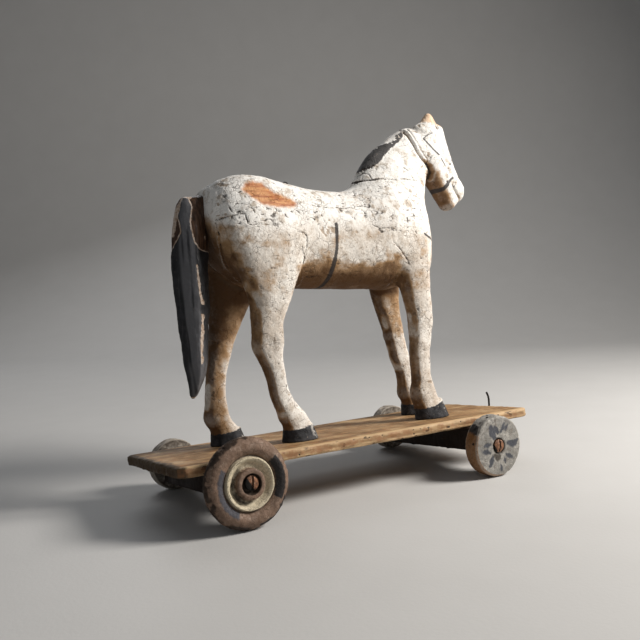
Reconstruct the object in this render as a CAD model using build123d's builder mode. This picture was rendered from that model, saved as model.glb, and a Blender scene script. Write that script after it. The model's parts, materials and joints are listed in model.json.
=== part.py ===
"""Carved wooden horse on a wheeled board: a pull-along toy, in millimetres.

+X is the way the horse faces, +Y is its left and +Z is up, with the floor at Z = 0.
The right-hand wheels are larger than the left-hand ones, so the board leans to its left. Everything
that stands on the board is drawn on planes tied to the board's top, the plane called deck.
"""
import os
from math import cos, hypot, radians, sin

from build123d import *

# ---- driving dimensions -------------------------------------------------------------------------
board_length = 362.0
board_width = 119.0
board_thickness = 9.0
deck_height = 45.8        # board top above the floor, at the middle of the board
deck_lean = 5.3           # degrees that the board leans to its left
forward_shift = -3.2      # middle of the board from the origin, so that the whole toy is centred
side_shift = 3.68

block_length_x = 26.0     # axle blocks, the two battens under the board
block_depth = 21.0
block_gap = 1.6           # from a block's end to the wheel beside it
block_chamfer = 1.5

rear_axle_x = -132.4      # along the board
front_axle_x = 112.4
rear_axle_tilt = 4.8      # degrees, right-hand end up
front_axle_tilt = 1.9
rear_right_y = -71.9      # mid-planes of the right-hand wheels, from the middle of the board
front_right_y = -79.0

screw_shank_r = 2.8       # wheel screws, which are the axles
screw_head_r = 5.8
screw_head_height = 3.6
screw_embed = 30.0        # into the end grain of the block
screw_taper = 10.0
screw_brim = 1.0          # straight edge of a screw's head
slot_width = 1.4
slot_depth = 1.6
slot_turn = -8            # degrees
wheel_bore_r = 2.85
head_clearance = 0.3      # between a screw's head and the wheel it keeps on

big_wheel_r = 35.0        # rear right: turned, with a rounded rim
big_wheel_width = 16.0
disc_wheel_r = 27.5       # front right: a plain sawn disc
disc_wheel_width = 16.0
small_wheel_r = 22.5      # both left-hand wheels
small_wheel_width = 13.0
disc_edge_r = 2.0         # rounding of a disc wheel's edges

neck_joint_height = 227.0  # glued joint between the body block and the head-and-neck block
peg_r = 4.0
hoof_peg_r = 3.0
hook_wire_r = 1.05
staple_wire_r = 0.6

# ---- planes -------------------------------------------------------------------------------------
deck_normal = (0, sin(radians(deck_lean)), cos(radians(deck_lean)))
deck = Plane((forward_shift, side_shift, deck_height), x_dir=(1, 0, 0), z_dir=deck_normal)


def on_deck(plane):
    """A plane given from the board's middle, moved to where the board stands."""
    return Plane(deck.location * plane.location)


def across(x):
    """Plane square across the horse: local X to its left, local Y up."""
    return on_deck(Plane((x, 0, 0), x_dir=(0, 1, 0), z_dir=(1, 0, 0)))


def side_plane(y):
    """Plane along the horse: local X forward, local Y up."""
    return on_deck(Plane((0, y, 0), x_dir=(1, 0, 0), z_dir=(0, -1, 0)))


# ---- sections -----------------------------------------------------------------------------------
def barrel_section(x, middle_z, half_height, half_width):
    with BuildSketch(across(x)) as section:
        with Locations((0, middle_z)):
            Ellipse(half_width, half_height)
    return section.sketch


def slanted_section(back, front, half_width):
    """Oval whose long axis runs between two points (x, z) of the horse's middle plane."""
    rise = front[1] - back[1]
    run = front[0] - back[0]
    middle = ((back[0] + front[0]) / 2, 0, (back[1] + front[1]) / 2)
    plane = Plane(middle, x_dir=(run, 0, rise), z_dir=(-rise, 0, run))
    with BuildSketch(on_deck(plane)) as section:
        Ellipse(hypot(run, rise) / 2, half_width)
    return section.sketch


def leg_section(z, back, front, middle_y, half_width):
    with BuildSketch(deck.offset(z)) as section:
        with Locations(((back + front) / 2, middle_y)):
            Ellipse((front - back) / 2, half_width)
    return section.sketch


def peg(start, end, radius):
    """Round peg between two points given from the board's middle."""
    start, end = Vector(*start), Vector(*end)
    with BuildPart() as body:
        with BuildSketch(on_deck(Plane(start, z_dir=end - start))):
            Circle(radius)
        extrude(amount=(end - start).length)
    return body.part


# ---- legs: carved whole, and let into flats on the body -----------------------------------------
# each row: height, back, front, middle, half width
right_hind_rows = [
    (0, -71, -40, -23, 12), (12, -69.5, -43, -23, 10.5), (20, -72.5, -48.5, -23.5, 9.5),
    (37, -79, -61.5, -24, 8.5), (59, -83, -67.5, -24, 8.5), (80, -91.5, -68, -24.5, 10),
    (95, -92, -66.5, -25, 10.5), (124, -93.5, -55, -26, 13), (150, -103, -43, -27, 14.5),
    (178, -112, -37, -26.5, 15), (198, -106, -50, -24, 12),
]
left_hind_rows = [
    (0, -116, -85, 24, 12), (11, -115, -88, 24, 10.5), (20, -119, -96, 24, 9.5),
    (38, -118, -100.5, 24, 8.5), (60, -115.5, -98, 24, 8.5), (90, -109.5, -87, 24.5, 10),
    (117, -107, -71, 26, 12.5), (146, -107, -55, 27, 14.5), (178, -112, -40, 26.5, 15),
    (198, -106, -50, 24, 12),
]
right_fore_rows = [
    (0, 73, 108.5, -22, 12), (12, 72, 102, -22, 10.5), (22, 71, 96, -22, 9.5),
    (40, 73, 91.5, -22, 8.5), (60, 73.5, 92.5, -22, 8.5), (80, 75, 96, -22, 9),
    (95, 74.5, 98, -22.5, 9.5), (125, 68, 99, -23, 11.5), (150, 65, 101, -23, 12.5),
    (168, 65, 101, -22.5, 12.5), (182, 67, 99, -21.5, 11.5),
]
left_fore_rows = [
    (0, 93, 127, 24, 12), (12, 92, 121, 24, 10.5), (20, 92, 115, 24, 9.5),
    (36, 90.5, 110.5, 24, 8.5), (60, 83.5, 103, 24, 8.5), (89, 77, 97.5, 24, 9),
    (110, 70, 97, 24, 10), (130, 65.5, 98.5, 24, 11.5), (150, 64.5, 100.5, 23.5, 12.5),
    (168, 65, 101, 22.5, 12.5), (182, 67, 99, 21.5, 11.5),
]

with BuildPart() as right_hind_leg:
    loft(sections=[leg_section(*row) for row in right_hind_rows])

with BuildPart() as left_hind_leg:
    loft(sections=[leg_section(*row) for row in left_hind_rows])

with BuildPart() as right_fore_leg:
    loft(sections=[leg_section(*row) for row in right_fore_rows])

with BuildPart() as left_fore_leg:
    loft(sections=[leg_section(*row) for row in left_fore_rows])

# ---- body block: barrel with the root of the neck -----------------------------------------------
# each row: distance forward, middle height, half height, half width
barrel_rows = [
    (-118, 197, 15, 14), (-112, 190, 29, 26), (-98, 184, 41, 36.5), (-78, 180, 47.5, 41),
    (-50, 178.5, 46, 39.5), (-20, 174.5, 45, 37), (10, 172.5, 44.5, 36.5), (40, 172.5, 46, 37),
    (70, 174, 48.5, 36.5), (95, 176, 43.5, 31), (107, 174.5, 33, 22), (114, 173, 17, 11),
]
# each row: back point, front point, half width
neck_rows = [
    ((30, 210), (117, 166), 29), ((41, 230), (118.5, 196), 23), ((57, 249), (121, 216), 18.5),
    ((78, 265.5), (126, 234), 16), ((99, 279.5), (133, 252), 14),
]
head_rows = [
    ((120, 281), (146, 291), 8), ((113, 269), (153, 286), 12.5), ((118, 255), (156, 271), 14),
    ((125, 238), (161, 254), 13), ((133.5, 224), (167, 241), 11), ((141, 213.5), (172, 230), 9.5),
    ((147, 205.5), (172.5, 218.5), 8.5), ((151, 203), (167.5, 210.5), 5.5),
]

with BuildPart() as neck:
    loft(sections=[slanted_section(*row) for row in neck_rows])

neck_joint = deck.offset(neck_joint_height)
neck_root = split(neck.part, bisect_by=neck_joint, keep=Keep.BOTTOM)
neck_top = split(neck.part, bisect_by=neck_joint, keep=Keep.TOP)

with BuildPart() as horse_body:
    loft(sections=[barrel_section(*row) for row in barrel_rows])
    add(neck_root)
    split(bisect_by=neck_joint, keep=Keep.BOTTOM)
    for leg in (right_hind_leg, left_hind_leg, right_fore_leg, left_fore_leg):
        add(leg.part, mode=Mode.SUBTRACT)

# ---- head-and-neck block, with the left ear worn down to a stub ---------------------------------
ear_base = (132, 281)      # along and above the board
ear_foot_size = (8.0, 5.0)
ear_tip_size = (3.4, 2.4)
ear_lean = 1.5             # how far an ear's tip stands out from its base
ear_side = 7.0
ear_heights = {-1: 17.0, 1: 8.0}

with BuildPart() as head_and_neck:
    loft(sections=[slanted_section(*row) for row in head_rows])
    add(neck_top)
    for side, ear_height in ear_heights.items():
        with BuildSketch(deck.offset(ear_base[1])) as ear_foot:
            with Locations((ear_base[0], side * ear_side)):
                Ellipse(*ear_foot_size)
        with BuildSketch(deck.offset(ear_base[1] + ear_height)) as ear_end:
            with Locations((ear_base[0] + 1, side * (ear_side + ear_lean))):
                Ellipse(*ear_tip_size)
        loft(sections=[ear_foot.sketch, ear_end.sketch])

# ---- tail ---------------------------------------------------------------------------------------
# each row: height, back, front, middle, half width
tail_rows = [
    (44, -142, -137, 0, 3), (58, -143.5, -129.5, 0, 8.5), (93, -146, -124, 0, 12.5),
    (132, -148.5, -121.5, 0, 16), (165, -148, -122.5, 0, 16), (186, -145, -123, 0, 14.5),
    (200, -140, -124.5, 0, 11), (209, -134, -126, 0, 6),
]
with BuildPart() as tail:
    loft(sections=[leg_section(*row) for row in tail_rows])

# ---- pegs inside the joints ---------------------------------------------------------------------
leg_peg_places = [(-76, 172, 33), (85, 160, 28)]   # along, above the board, and how far out each ends
leg_pegs = Part() + [peg((x, side * 4, z), (x, side * reach, z), peg_r)
                     for x, z, reach in leg_peg_places for side in (-1, 1)]
neck_peg = peg((78, 0, 205), (88, 0, 245), peg_r)
tail_peg = peg((-100, 0, 195), (-134, 0, 195), peg_r)
hoof_places = [(-56, -23), (-101, 24), (90, -22), (109, 24)]
hoof_pegs = Part() + [peg((x, y, -7), (x, y, 13), hoof_peg_r) for x, y in hoof_places]

# ---- board and the blocks under it --------------------------------------------------------------
half_length = board_length / 2
half_width = board_width / 2
# worn corners: how much of the end and of the side each has lost
corner_wear = {(-1, 1): (3, 4), (-1, -1): (6, 5), (1, -1): (4, 4), (1, 1): (6, 5)}
edge_round = 1.5


def board_corner(end, side):
    along, over = corner_wear[end, side]
    at_side = (end * (half_length - along), side * half_width)
    at_end = (end * half_length, side * (half_width - over))
    return [at_side, at_end] if end * side < 0 else [at_end, at_side]


with BuildPart() as platform_board:
    with BuildSketch(deck):
        with BuildLine():
            corners = [(-1, -1), (1, -1), (1, 1), (-1, 1)]
            Polyline(*[point for corner in corners for point in board_corner(*corner)], close=True)
        make_face()
    extrude(amount=-board_thickness)
    fillet(platform_board.faces().sort_by(Axis(deck.origin, deck.z_dir))[-1].edges(), edge_round)


class Axle:
    """Line on which a pair of wheels turns, and where its two wheels stand on it."""

    def __init__(self, along_board, tilt, right_y, right_height, left_height):
        self.x = along_board + forward_shift
        self.to_right = Vector(0, -cos(radians(tilt)), sin(radians(tilt)))
        self.right = Vector(self.x, right_y + side_shift, right_height)
        self.left = self.right - self.to_right * ((right_height - left_height) / sin(radians(tilt)))


def rounded_rim_height(tilt):
    """Height at which the big wheel's rounded rim just meets the floor."""
    rim = big_wheel_width / 2
    return rim + (big_wheel_r - rim) * cos(radians(tilt))


def disc_height(radius, width, tilt):
    """Height at which the lower rounded edge of a tilted disc wheel just meets the floor."""
    angle = radians(tilt)
    return disc_edge_r + (radius - disc_edge_r) * cos(angle) + (width / 2 - disc_edge_r) * sin(angle)


rear_axle = Axle(rear_axle_x, rear_axle_tilt, rear_right_y, rounded_rim_height(rear_axle_tilt),
                 disc_height(small_wheel_r, small_wheel_width, rear_axle_tilt))
front_axle = Axle(front_axle_x, front_axle_tilt, front_right_y,
                  disc_height(disc_wheel_r, disc_wheel_width, front_axle_tilt),
                  disc_height(small_wheel_r, small_wheel_width, front_axle_tilt))


# ---- wheels -------------------------------------------------------------------------------------
def profile_plane(centre, outward):
    """Plane for a profile turned about a wheel's axis: local X is the radius, local Y runs outward."""
    return Plane(centre, x_dir=(1, 0, 0), z_dir=Vector(1, 0, 0).cross(outward))


def disc_wheel(centre, outward, radius, width, mouth_r, mouth_depth):
    """Flat disc with rounded edges, a bore and a shallow mouth for the screw's head."""
    with BuildPart() as wheel:
        with BuildSketch(profile_plane(centre, outward)):
            with Locations((radius / 2, 0)):
                Rectangle(radius, width)
            with Locations((wheel_bore_r / 2, 0)):
                Rectangle(wheel_bore_r, width, mode=Mode.SUBTRACT)
            with Locations((mouth_r / 2, width / 2 - mouth_depth / 2)):
                Rectangle(mouth_r, mouth_depth, mode=Mode.SUBTRACT)
        revolve(axis=Axis(centre, outward))
        rims = wheel.edges().filter_by(GeomType.CIRCLE).sort_by(SortBy.RADIUS)[-2:]
        fillet(rims, disc_edge_r)
    return wheel.part


def wheel_screw(centre, outward, wheel_seat, wheel_width):
    """Slotted screw whose head stands just off its wheel's seat and whose point ends in the block."""
    under_head = wheel_seat + head_clearance
    head_top = under_head + screw_head_height
    point = -(wheel_width / 2 + screw_embed)
    brim = (screw_head_r, under_head + screw_brim)
    shoulder = (screw_head_r * 0.72, head_top - 0.75)
    with BuildPart() as screw:
        with BuildSketch(profile_plane(centre, outward)):
            with BuildLine():
                Polyline((0, head_top), (0, point), (screw_shank_r, point + screw_taper),
                         (screw_shank_r, under_head), (screw_head_r, under_head), brim)
                ThreePointArc(brim, shoulder, (0, head_top))
            make_face()
        revolve(axis=Axis(centre, outward))
        with BuildSketch(Plane(centre + outward * head_top, x_dir=(1, 0, 0), z_dir=outward)):
            Rectangle(slot_width, 2 * screw_head_r, rotation=slot_turn)
        extrude(amount=-slot_depth, mode=Mode.SUBTRACT)
    return screw.part


hub_face = 9.6             # rear right wheel, outward from its mid-plane
hub_seat = 5.0
hub_mouth_r = 7.4
rim_r = big_wheel_width / 2
rim_centre = big_wheel_r - rim_r
rim_foot = (rim_centre - 5.6, 5.7)
# radius and outward distance, from the groove inside the rim, over the ring, down to the hub
ring_and_hollow = [(20.3, 5.2), (20.0, 7.4), (19.0, 7.9), (16.2, 5.4), (15.4, 4.2), (12.7, 3.6)]
hub_r = 12.0
mouth_r = 6.6              # the other wheels
mouth_depth = 2.6

with BuildPart() as rear_right_wheel:
    with BuildSketch(profile_plane(rear_axle.right, rear_axle.to_right)):
        with BuildLine():
            ThreePointArc((rim_centre, -rim_r), (big_wheel_r, 0), (rim_centre, rim_r))
            ThreePointArc((rim_centre, rim_r), (rim_centre - 3, 7.4), rim_foot)
            Polyline(rim_foot, *ring_and_hollow, (hub_r, hub_face - 0.8), (hub_r - 1, hub_face),
                     (hub_mouth_r, hub_face), (hub_mouth_r, hub_seat), (wheel_bore_r, hub_seat),
                     (wheel_bore_r, -rim_r), (rim_centre, -rim_r))
        make_face()
    revolve(axis=Axis(rear_axle.right, rear_axle.to_right))

to_left = rear_axle.to_right * -1
front_to_left = front_axle.to_right * -1
front_right_wheel = disc_wheel(front_axle.right, front_axle.to_right, disc_wheel_r, disc_wheel_width,
                               mouth_r, mouth_depth)
rear_left_wheel = disc_wheel(rear_axle.left, to_left, small_wheel_r, small_wheel_width,
                             mouth_r, mouth_depth)
front_left_wheel = disc_wheel(front_axle.left, front_to_left, small_wheel_r, small_wheel_width,
                              mouth_r, mouth_depth)

rear_right_screw = wheel_screw(rear_axle.right, rear_axle.to_right, hub_seat, big_wheel_width)
front_right_screw = wheel_screw(front_axle.right, front_axle.to_right,
                                disc_wheel_width / 2 - mouth_depth, disc_wheel_width)
small_seat = small_wheel_width / 2 - mouth_depth
rear_left_screw = wheel_screw(rear_axle.left, to_left, small_seat, small_wheel_width)
front_left_screw = wheel_screw(front_axle.left, front_to_left, small_seat, small_wheel_width)

# ---- axle blocks --------------------------------------------------------------------------------
nail_r = 1.0
nail_head_r = 2.2
nail_head_thickness = 0.8
nail_short_of_top = 2.0    # how far under the board's top a nail ends
nail_places = [(dx, dy) for dx in (-8, 8) for dy in (-26, 26)]


def axle_block(axle_x, axle, screws):
    """Batten from just inside one wheel to just inside the other."""
    right_end = deck.to_local_coords(axle.right).Y + big_wheel_width / 2 + block_gap
    left_end = deck.to_local_coords(axle.left).Y - small_wheel_width / 2 - block_gap
    with BuildPart() as block:
        with BuildSketch(deck.offset(-board_thickness)):
            with Locations((axle_x, (right_end + left_end) / 2)):
                Rectangle(block_length_x, left_end - right_end)
        extrude(amount=-block_depth)
        chamfer(block.faces().sort_by(Axis(deck.origin, deck.z_dir))[0].edges(), block_chamfer)
        for screw in screws:
            add(screw, mode=Mode.SUBTRACT)
    return block.part


rear_axle_block = axle_block(rear_axle_x, rear_axle, (rear_right_screw, rear_left_screw))
front_axle_block = axle_block(front_axle_x, front_axle, (front_right_screw, front_left_screw))

# ---- nails up through the blocks, hook and staple -----------------------------------------------
with BuildPart() as block_nails:
    for axle_x in (rear_axle_x, front_axle_x):
        with BuildSketch(deck.offset(-board_thickness - block_depth)):
            with Locations(*[(axle_x + dx, dy) for dx, dy in nail_places]):
                Circle(nail_r)
        extrude(amount=block_depth + board_thickness - nail_short_of_top)
        with BuildSketch(deck.offset(-board_thickness - block_depth)):
            with Locations(*[(axle_x + dx, dy) for dx, dy in nail_places]):
                Circle(nail_head_r)
        extrude(amount=-nail_head_thickness)

hook_embed = 14.0          # into the board's front end
hook_z = -board_thickness / 2
board_end = board_length / 2
hook_start = (board_end - hook_embed, hook_z)
bend_start = (board_end + 1.6, hook_z)
bend_middle = (board_end + 3.8, hook_z + 0.9)
bend_end = (board_end + 4.7, hook_z + 3.1)
hook_side = (board_end + 5.3, 6.5)
hook_tip = (board_end + 2.6, 13.5)
with BuildPart() as pull_hook:
    with BuildLine(side_plane(0)) as hook_line:
        Line(hook_start, bend_start)
        ThreePointArc(bend_start, bend_middle, bend_end)
        ThreePointArc(bend_end, hook_side, hook_tip)
    with BuildSketch(across(hook_start[0])):
        with Locations((0, hook_z)):
            Circle(hook_wire_r)
    sweep(path=hook_line.line)

staple_x = -35.0
staple_top = 225.6
staple_half_width = 3.0
staple_foot = staple_top - 14.0
staple_shoulder = staple_top - staple_half_width
with BuildPart() as back_staple:
    with BuildLine(side_plane(0)) as staple_line:
        back_x, front_x = staple_x - staple_half_width, staple_x + staple_half_width
        Line((back_x, staple_foot), (back_x, staple_shoulder))
        ThreePointArc((back_x, staple_shoulder), (staple_x, staple_top), (front_x, staple_shoulder))
        Line((front_x, staple_shoulder), (front_x, staple_foot))
    with BuildSketch(deck.offset(staple_foot)):
        with Locations((back_x, 0)):
            Circle(staple_wire_r)
    sweep(path=staple_line.line)

# ---- sockets: each fastener's own space is cut from what it holds -------------------------------
cut_list = {
    "platform_board": (platform_board.part, [hoof_pegs, block_nails.part, pull_hook.part]),
    "rear_axle_block": (rear_axle_block, [block_nails.part]),
    "front_axle_block": (front_axle_block, [block_nails.part]),
    "horse_body": (horse_body.part, [leg_pegs, neck_peg, tail_peg, back_staple.part]),
    "head_and_neck": (head_and_neck.part, [neck_peg]),
    "right_hind_leg": (right_hind_leg.part, [leg_pegs, hoof_pegs]),
    "left_hind_leg": (left_hind_leg.part, [leg_pegs, hoof_pegs]),
    "right_fore_leg": (right_fore_leg.part, [leg_pegs, hoof_pegs]),
    "left_fore_leg": (left_fore_leg.part, [leg_pegs, hoof_pegs]),
    "tail": (tail.part, [tail_peg]),
}
pieces = {name: whole - cutters for name, (whole, cutters) in cut_list.items()}
pieces.update({
    "leg_pegs": leg_pegs, "neck_peg": neck_peg, "tail_peg": tail_peg, "hoof_pegs": hoof_pegs,
    "block_nails": block_nails.part, "pull_hook": pull_hook.part, "back_staple": back_staple.part,
    "rear_right_wheel": rear_right_wheel.part, "front_right_wheel": front_right_wheel,
    "rear_left_wheel": rear_left_wheel, "front_left_wheel": front_left_wheel,
    "rear_right_screw": rear_right_screw, "front_right_screw": front_right_screw,
    "rear_left_screw": rear_left_screw, "front_left_screw": front_left_screw,
})

os.makedirs("parts", exist_ok=True)
for name, piece in pieces.items():
    piece.label = name
    export_step(piece, f"parts/{name}.step")

whole_toy = Compound(children=list(pieces.values())).bounding_box()
print("lowest", whole_toy.min, "highest", whole_toy.max)
for axle_name, axle in (("rear", rear_axle), ("front", front_axle)):
    print(axle_name, "axle:", "right", axle.right, "left", axle.left, "direction", axle.to_right)
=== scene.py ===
"""The looks of a carved and painted wooden horse on a wheeled board.

The shapes are sculpted in the toy's own millimetres: x forward and y to the horse's left from the
middle of the board, z up from the board's top. The board leans, so deck_to_frame() carries them into
the frame's metres. A field is a number at each point of a block of space: below zero is wood.
"""
import json
from math import cos, pi, radians, sin

import bpy
import numpy as np
from mathutils import Matrix, Vector


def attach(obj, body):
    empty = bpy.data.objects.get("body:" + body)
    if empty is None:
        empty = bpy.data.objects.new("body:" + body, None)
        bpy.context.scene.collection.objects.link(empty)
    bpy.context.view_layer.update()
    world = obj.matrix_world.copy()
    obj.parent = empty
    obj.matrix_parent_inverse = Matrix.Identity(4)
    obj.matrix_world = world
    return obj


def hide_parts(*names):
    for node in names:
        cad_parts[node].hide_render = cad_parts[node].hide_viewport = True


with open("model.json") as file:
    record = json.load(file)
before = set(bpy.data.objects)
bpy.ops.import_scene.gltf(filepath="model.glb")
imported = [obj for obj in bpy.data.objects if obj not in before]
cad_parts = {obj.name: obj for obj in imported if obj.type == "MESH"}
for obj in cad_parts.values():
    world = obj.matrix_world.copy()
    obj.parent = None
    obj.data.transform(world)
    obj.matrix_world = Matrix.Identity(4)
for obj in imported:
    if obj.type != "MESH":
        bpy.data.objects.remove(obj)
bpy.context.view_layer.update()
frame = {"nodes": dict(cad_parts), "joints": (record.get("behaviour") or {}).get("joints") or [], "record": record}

MM = 0.001
HORSE = "horse_on_board"
grid_scale = 1.0

# ---- where the toy's own axes stand in the frame -------------------------------------------------
BOARD_TOP_MOUNT_AHEAD = 150.0      # mm that this mount stands ahead of the board's middle
board_top = next(m for m in frame["record"]["mounts"] if m["name"] == "board_top")
deck_forward = np.array((1.0, 0.0, 0.0))
deck_up = np.array(board_top["axis"], float)
deck_up /= np.linalg.norm(deck_up)
deck_left = np.cross(deck_up, deck_forward)
deck_axes = np.array((deck_forward, deck_left, deck_up))
deck_origin = np.array(board_top["pos_m"], float) - BOARD_TOP_MOUNT_AHEAD * MM * deck_forward


def deck_to_frame(points):
    """Toy millimetres to frame metres."""
    return deck_origin + MM * np.asarray(points, float) @ deck_axes


# ---- numbers that vary smoothly along a row of given values ----------------------------------------
def follow(rows, at):
    """Columns of rows, smoothly interpolated at the given values of the first column."""
    rows = np.asarray(rows, float)
    knots, values = rows[:, 0], rows[:, 1:]
    slopes = np.gradient(values, knots, axis=0)
    i = np.clip(np.searchsorted(knots, at) - 1, 0, len(knots) - 2)
    gap = knots[i + 1] - knots[i]
    t = np.clip((at - knots[i]) / gap, 0, 1)
    columns = []
    for column, slope in zip(values.T, slopes.T):
        bend = (2 * t**3 - 3 * t**2 + 1) * column[i] + (t**3 - 2 * t**2 + t) * gap * slope[i]
        columns.append(bend + (3 * t**2 - 2 * t**3) * column[i + 1] + (t**3 - t**2) * gap * slope[i + 1])
    return columns


def ramp(values, low, high):
    """0 below low, 1 above high, smooth between; low may be the larger."""
    t = np.clip((values - low) / (high - low), 0, 1)
    return t * t * (3 - 2 * t)


# ---- repeatable noise ------------------------------------------------------------------------------
CORNERS = [np.array((i, j, k)) for i in (0, 1) for j in (0, 1) for k in (0, 1)]
NEIGHBOURS = [np.array((i, j, k)) for i in (-1, 0, 1) for j in (-1, 0, 1) for k in (-1, 0, 1)]


def lattice(cell, seed):
    """A fixed pseudo-random value from 0 to 1 for each whole-number point."""
    cell = cell.astype(np.int64)
    mixed = cell[..., 0] * 73856093 ^ cell[..., 1] * 19349663 ^ cell[..., 2] * 83492791 ^ seed * 26544357
    mixed = ((mixed ^ (mixed >> 13)) * 1274126177) & 0x7FFFFFFF
    mixed = ((mixed ^ (mixed >> 15)) * 668265263) & 0x7FFFFFFF
    return ((mixed >> 7) & 0xFFFF) / 65535.0


def noise(points, size, seed, octaves=3):
    """Smooth noise from about -1 to 1 whose lumps are size millimetres; size may differ by axis."""
    total, reach = 0.0, 0.0
    for octave in range(octaves):
        place = points / size * 2**octave + 37.7 * (seed + octave)
        cell = np.floor(place)
        part = place - cell
        part = part * part * (3 - 2 * part)
        value = 0.0
        for corner in CORNERS:
            share = np.where(corner, part, 1 - part).prod(axis=-1)
            value = value + share * lattice(cell + corner, seed + octave)
        total = total + (2 * value - 1) * 0.5**octave
        reach += 0.5**octave
    return 1.6 * total / reach


def cells(points, size, seed):
    """Cracked-mud noise: distance to the nearest crack in millimetres."""
    place = points / size
    base = np.floor(place)
    nearest = np.full(len(points), 9.0)
    second = nearest.copy()
    for offset in NEIGHBOURS:
        cell = base + offset
        centre = cell + np.stack([lattice(cell, seed + 11 * i) for i in range(3)], axis=-1)
        distance = np.linalg.norm(centre - place, axis=-1)
        second = np.where(distance < nearest, nearest, np.minimum(second, distance))
        nearest = np.minimum(nearest, distance)
    return (second - nearest) * size / 2


# ---- fields ----------------------------------------------------------------------------------------
class Block:
    """A box of evenly spaced points, with its three axes ready to broadcast against each other."""

    def __init__(self, low, high, step):
        self.low = np.array(low, float)
        self.step = np.ones(3) * step * grid_scale
        counts = np.ceil((np.array(high) - self.low) / self.step).astype(int) + 1
        axes = [self.low[i] + self.step[i] * np.arange(counts[i]) for i in range(3)]
        self.x = axes[0][:, None, None]
        self.y = axes[1][None, :, None]
        self.z = axes[2][None, None, :]


def merge(a, b, blend):
    """Both shapes, with a fillet about as wide as blend where they meet."""
    h = np.clip(0.5 + 0.5 * (b - a) / blend, 0, 1)
    return b * (1 - h) + a * h - blend * h * (1 - h)


def cut(a, b, blend):
    """The first shape without the second."""
    return -merge(-a, b, blend)


def ball(block, centre, radii, turn=0.0):
    """Ellipsoid, turned in the side view by some degrees from x towards z."""
    x, y, z = block.x - centre[0], block.y - centre[1], block.z - centre[2]
    c, s = cos(radians(turn)), sin(radians(turn))
    along, over = x * c + z * s, z * c - x * s
    size = np.sqrt((along / radii[0]) ** 2 + (y / radii[1]) ** 2 + (over / radii[2]) ** 2)
    return (size - 1) * min(radii)


def rod(block, start, end, start_radius, end_radius):
    """Round bar that tapers from one point to another, with round ends."""
    start, end = np.array(start, float), np.array(end, float)
    run = end - start
    x, y, z = block.x - start[0], block.y - start[1], block.z - start[2]
    t = np.clip((x * run[0] + y * run[1] + z * run[2]) / (run @ run), 0, 1)
    gap = np.sqrt((x - t * run[0]) ** 2 + (y - t * run[1]) ** 2 + (z - t * run[2]) ** 2)
    return gap - (start_radius + t * (end_radius - start_radius))


def oval(u, v, half_u, half_v, squareness):
    """Rounded section: squareness 2 is an ellipse, more is nearer to a box."""
    size = (np.abs(u / half_u) ** squareness + np.abs(v / half_v) ** squareness) ** (1 / squareness)
    return (size - 1) * np.minimum(half_u, half_v)


def slanted_loft(block, rows, squareness, crest=0.0):
    """Loft through sections that stand on lines (back point, front point) of the side view.
    crest is how much narrower a section is at its back end than at its front end."""
    places = np.arange(len(rows), dtype=float)
    table = [(i, *back, *front, width) for i, (back, front, width) in zip(places, rows)]
    fine = np.linspace(0, places[-1], 12 * (len(rows) - 1) + 1)
    bx, bz, fx, fz, width = follow(table, fine)
    run, rise = fx - bx, fz - bz
    length = np.hypot(run, rise)
    x, z = block.x[:, 0], block.z[0]
    ahead = [(z - (b + f) / 2) * r / n - (x - (a + c) / 2) * s / n
             for a, b, c, f, r, s, n in zip(bx, bz, fx, fz, run, rise, length)]
    ahead = np.array(ahead)
    order = -1.0 if ahead[0].mean() < ahead[-1].mean() else 1.0
    ahead = ahead * order
    passed = (ahead > 0).sum(axis=0)
    i = np.clip(passed - 1, 0, len(fine) - 2)
    near = np.take_along_axis(ahead, i[None], 0)[0]
    far = np.take_along_axis(ahead, i[None] + 1, 0)[0]
    t = np.clip(near / np.where(np.abs(near - far) < 1e-6, 1e-6, near - far), 0, 1)

    def between(values):
        return values[i] * (1 - t) + values[i + 1] * t

    middle_x, middle_z = between((bx + fx) / 2), between((bz + fz) / 2)
    ux, uz = between(run / length), between(rise / length)
    along = (x - middle_x) * ux + (z - middle_z) * uz
    half = between(length) / 2
    narrowing = 1 + crest * np.clip(along / half, -1, 1)
    side = (between(width) * narrowing)[:, None]
    body = oval(along[:, None], block.y, half[:, None], side, squareness)
    ends = np.maximum(-ahead[0], ahead[-1])[:, None]
    return -merge(-body, -ends, 3.0)


def upright_loft(block, rows):
    """Loft through level sections: height, back, front, middle y, half width, squareness."""
    z = block.z[0, 0]
    back, front, middle, half_width, squareness = [c[None, None, :] for c in follow(rows, z)]
    side = oval(block.x - (back + front) / 2, block.y - middle, (front - back) / 2, half_width, squareness)
    return -merge(-side, -np.maximum(block.z - rows[-1][0], rows[0][0] - block.z), 2.0)


def line_gap(x, z, path):
    """Distance in the side view from points to a drawn line."""
    best = np.full(np.broadcast(x, z).shape, 999.0)
    for (x0, z0), (x1, z1) in zip(path, path[1:]):
        dx, dz = x1 - x0, z1 - z0
        t = np.clip(((x - x0) * dx + (z - z0) * dz) / (dx * dx + dz * dz), 0, 1)
        best = np.minimum(best, np.hypot(x - x0 - t * dx, z - z0 - t * dz))
    return best


def area_gap(x, z, outline):
    """Signed distance in the side view to a closed outline, below zero inside."""
    inside = np.zeros(np.broadcast(x, z).shape, bool)
    for (x0, z0), (x1, z1) in zip(outline, outline[1:] + outline[:1]):
        if z0 != z1:
            inside ^= ((z0 > z) != (z1 > z)) & (x < (x1 - x0) * (z - z0) / (z1 - z0) + x0)
    return np.where(inside, -1, 1) * line_gap(x, z, outline + outline[:1])


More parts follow.
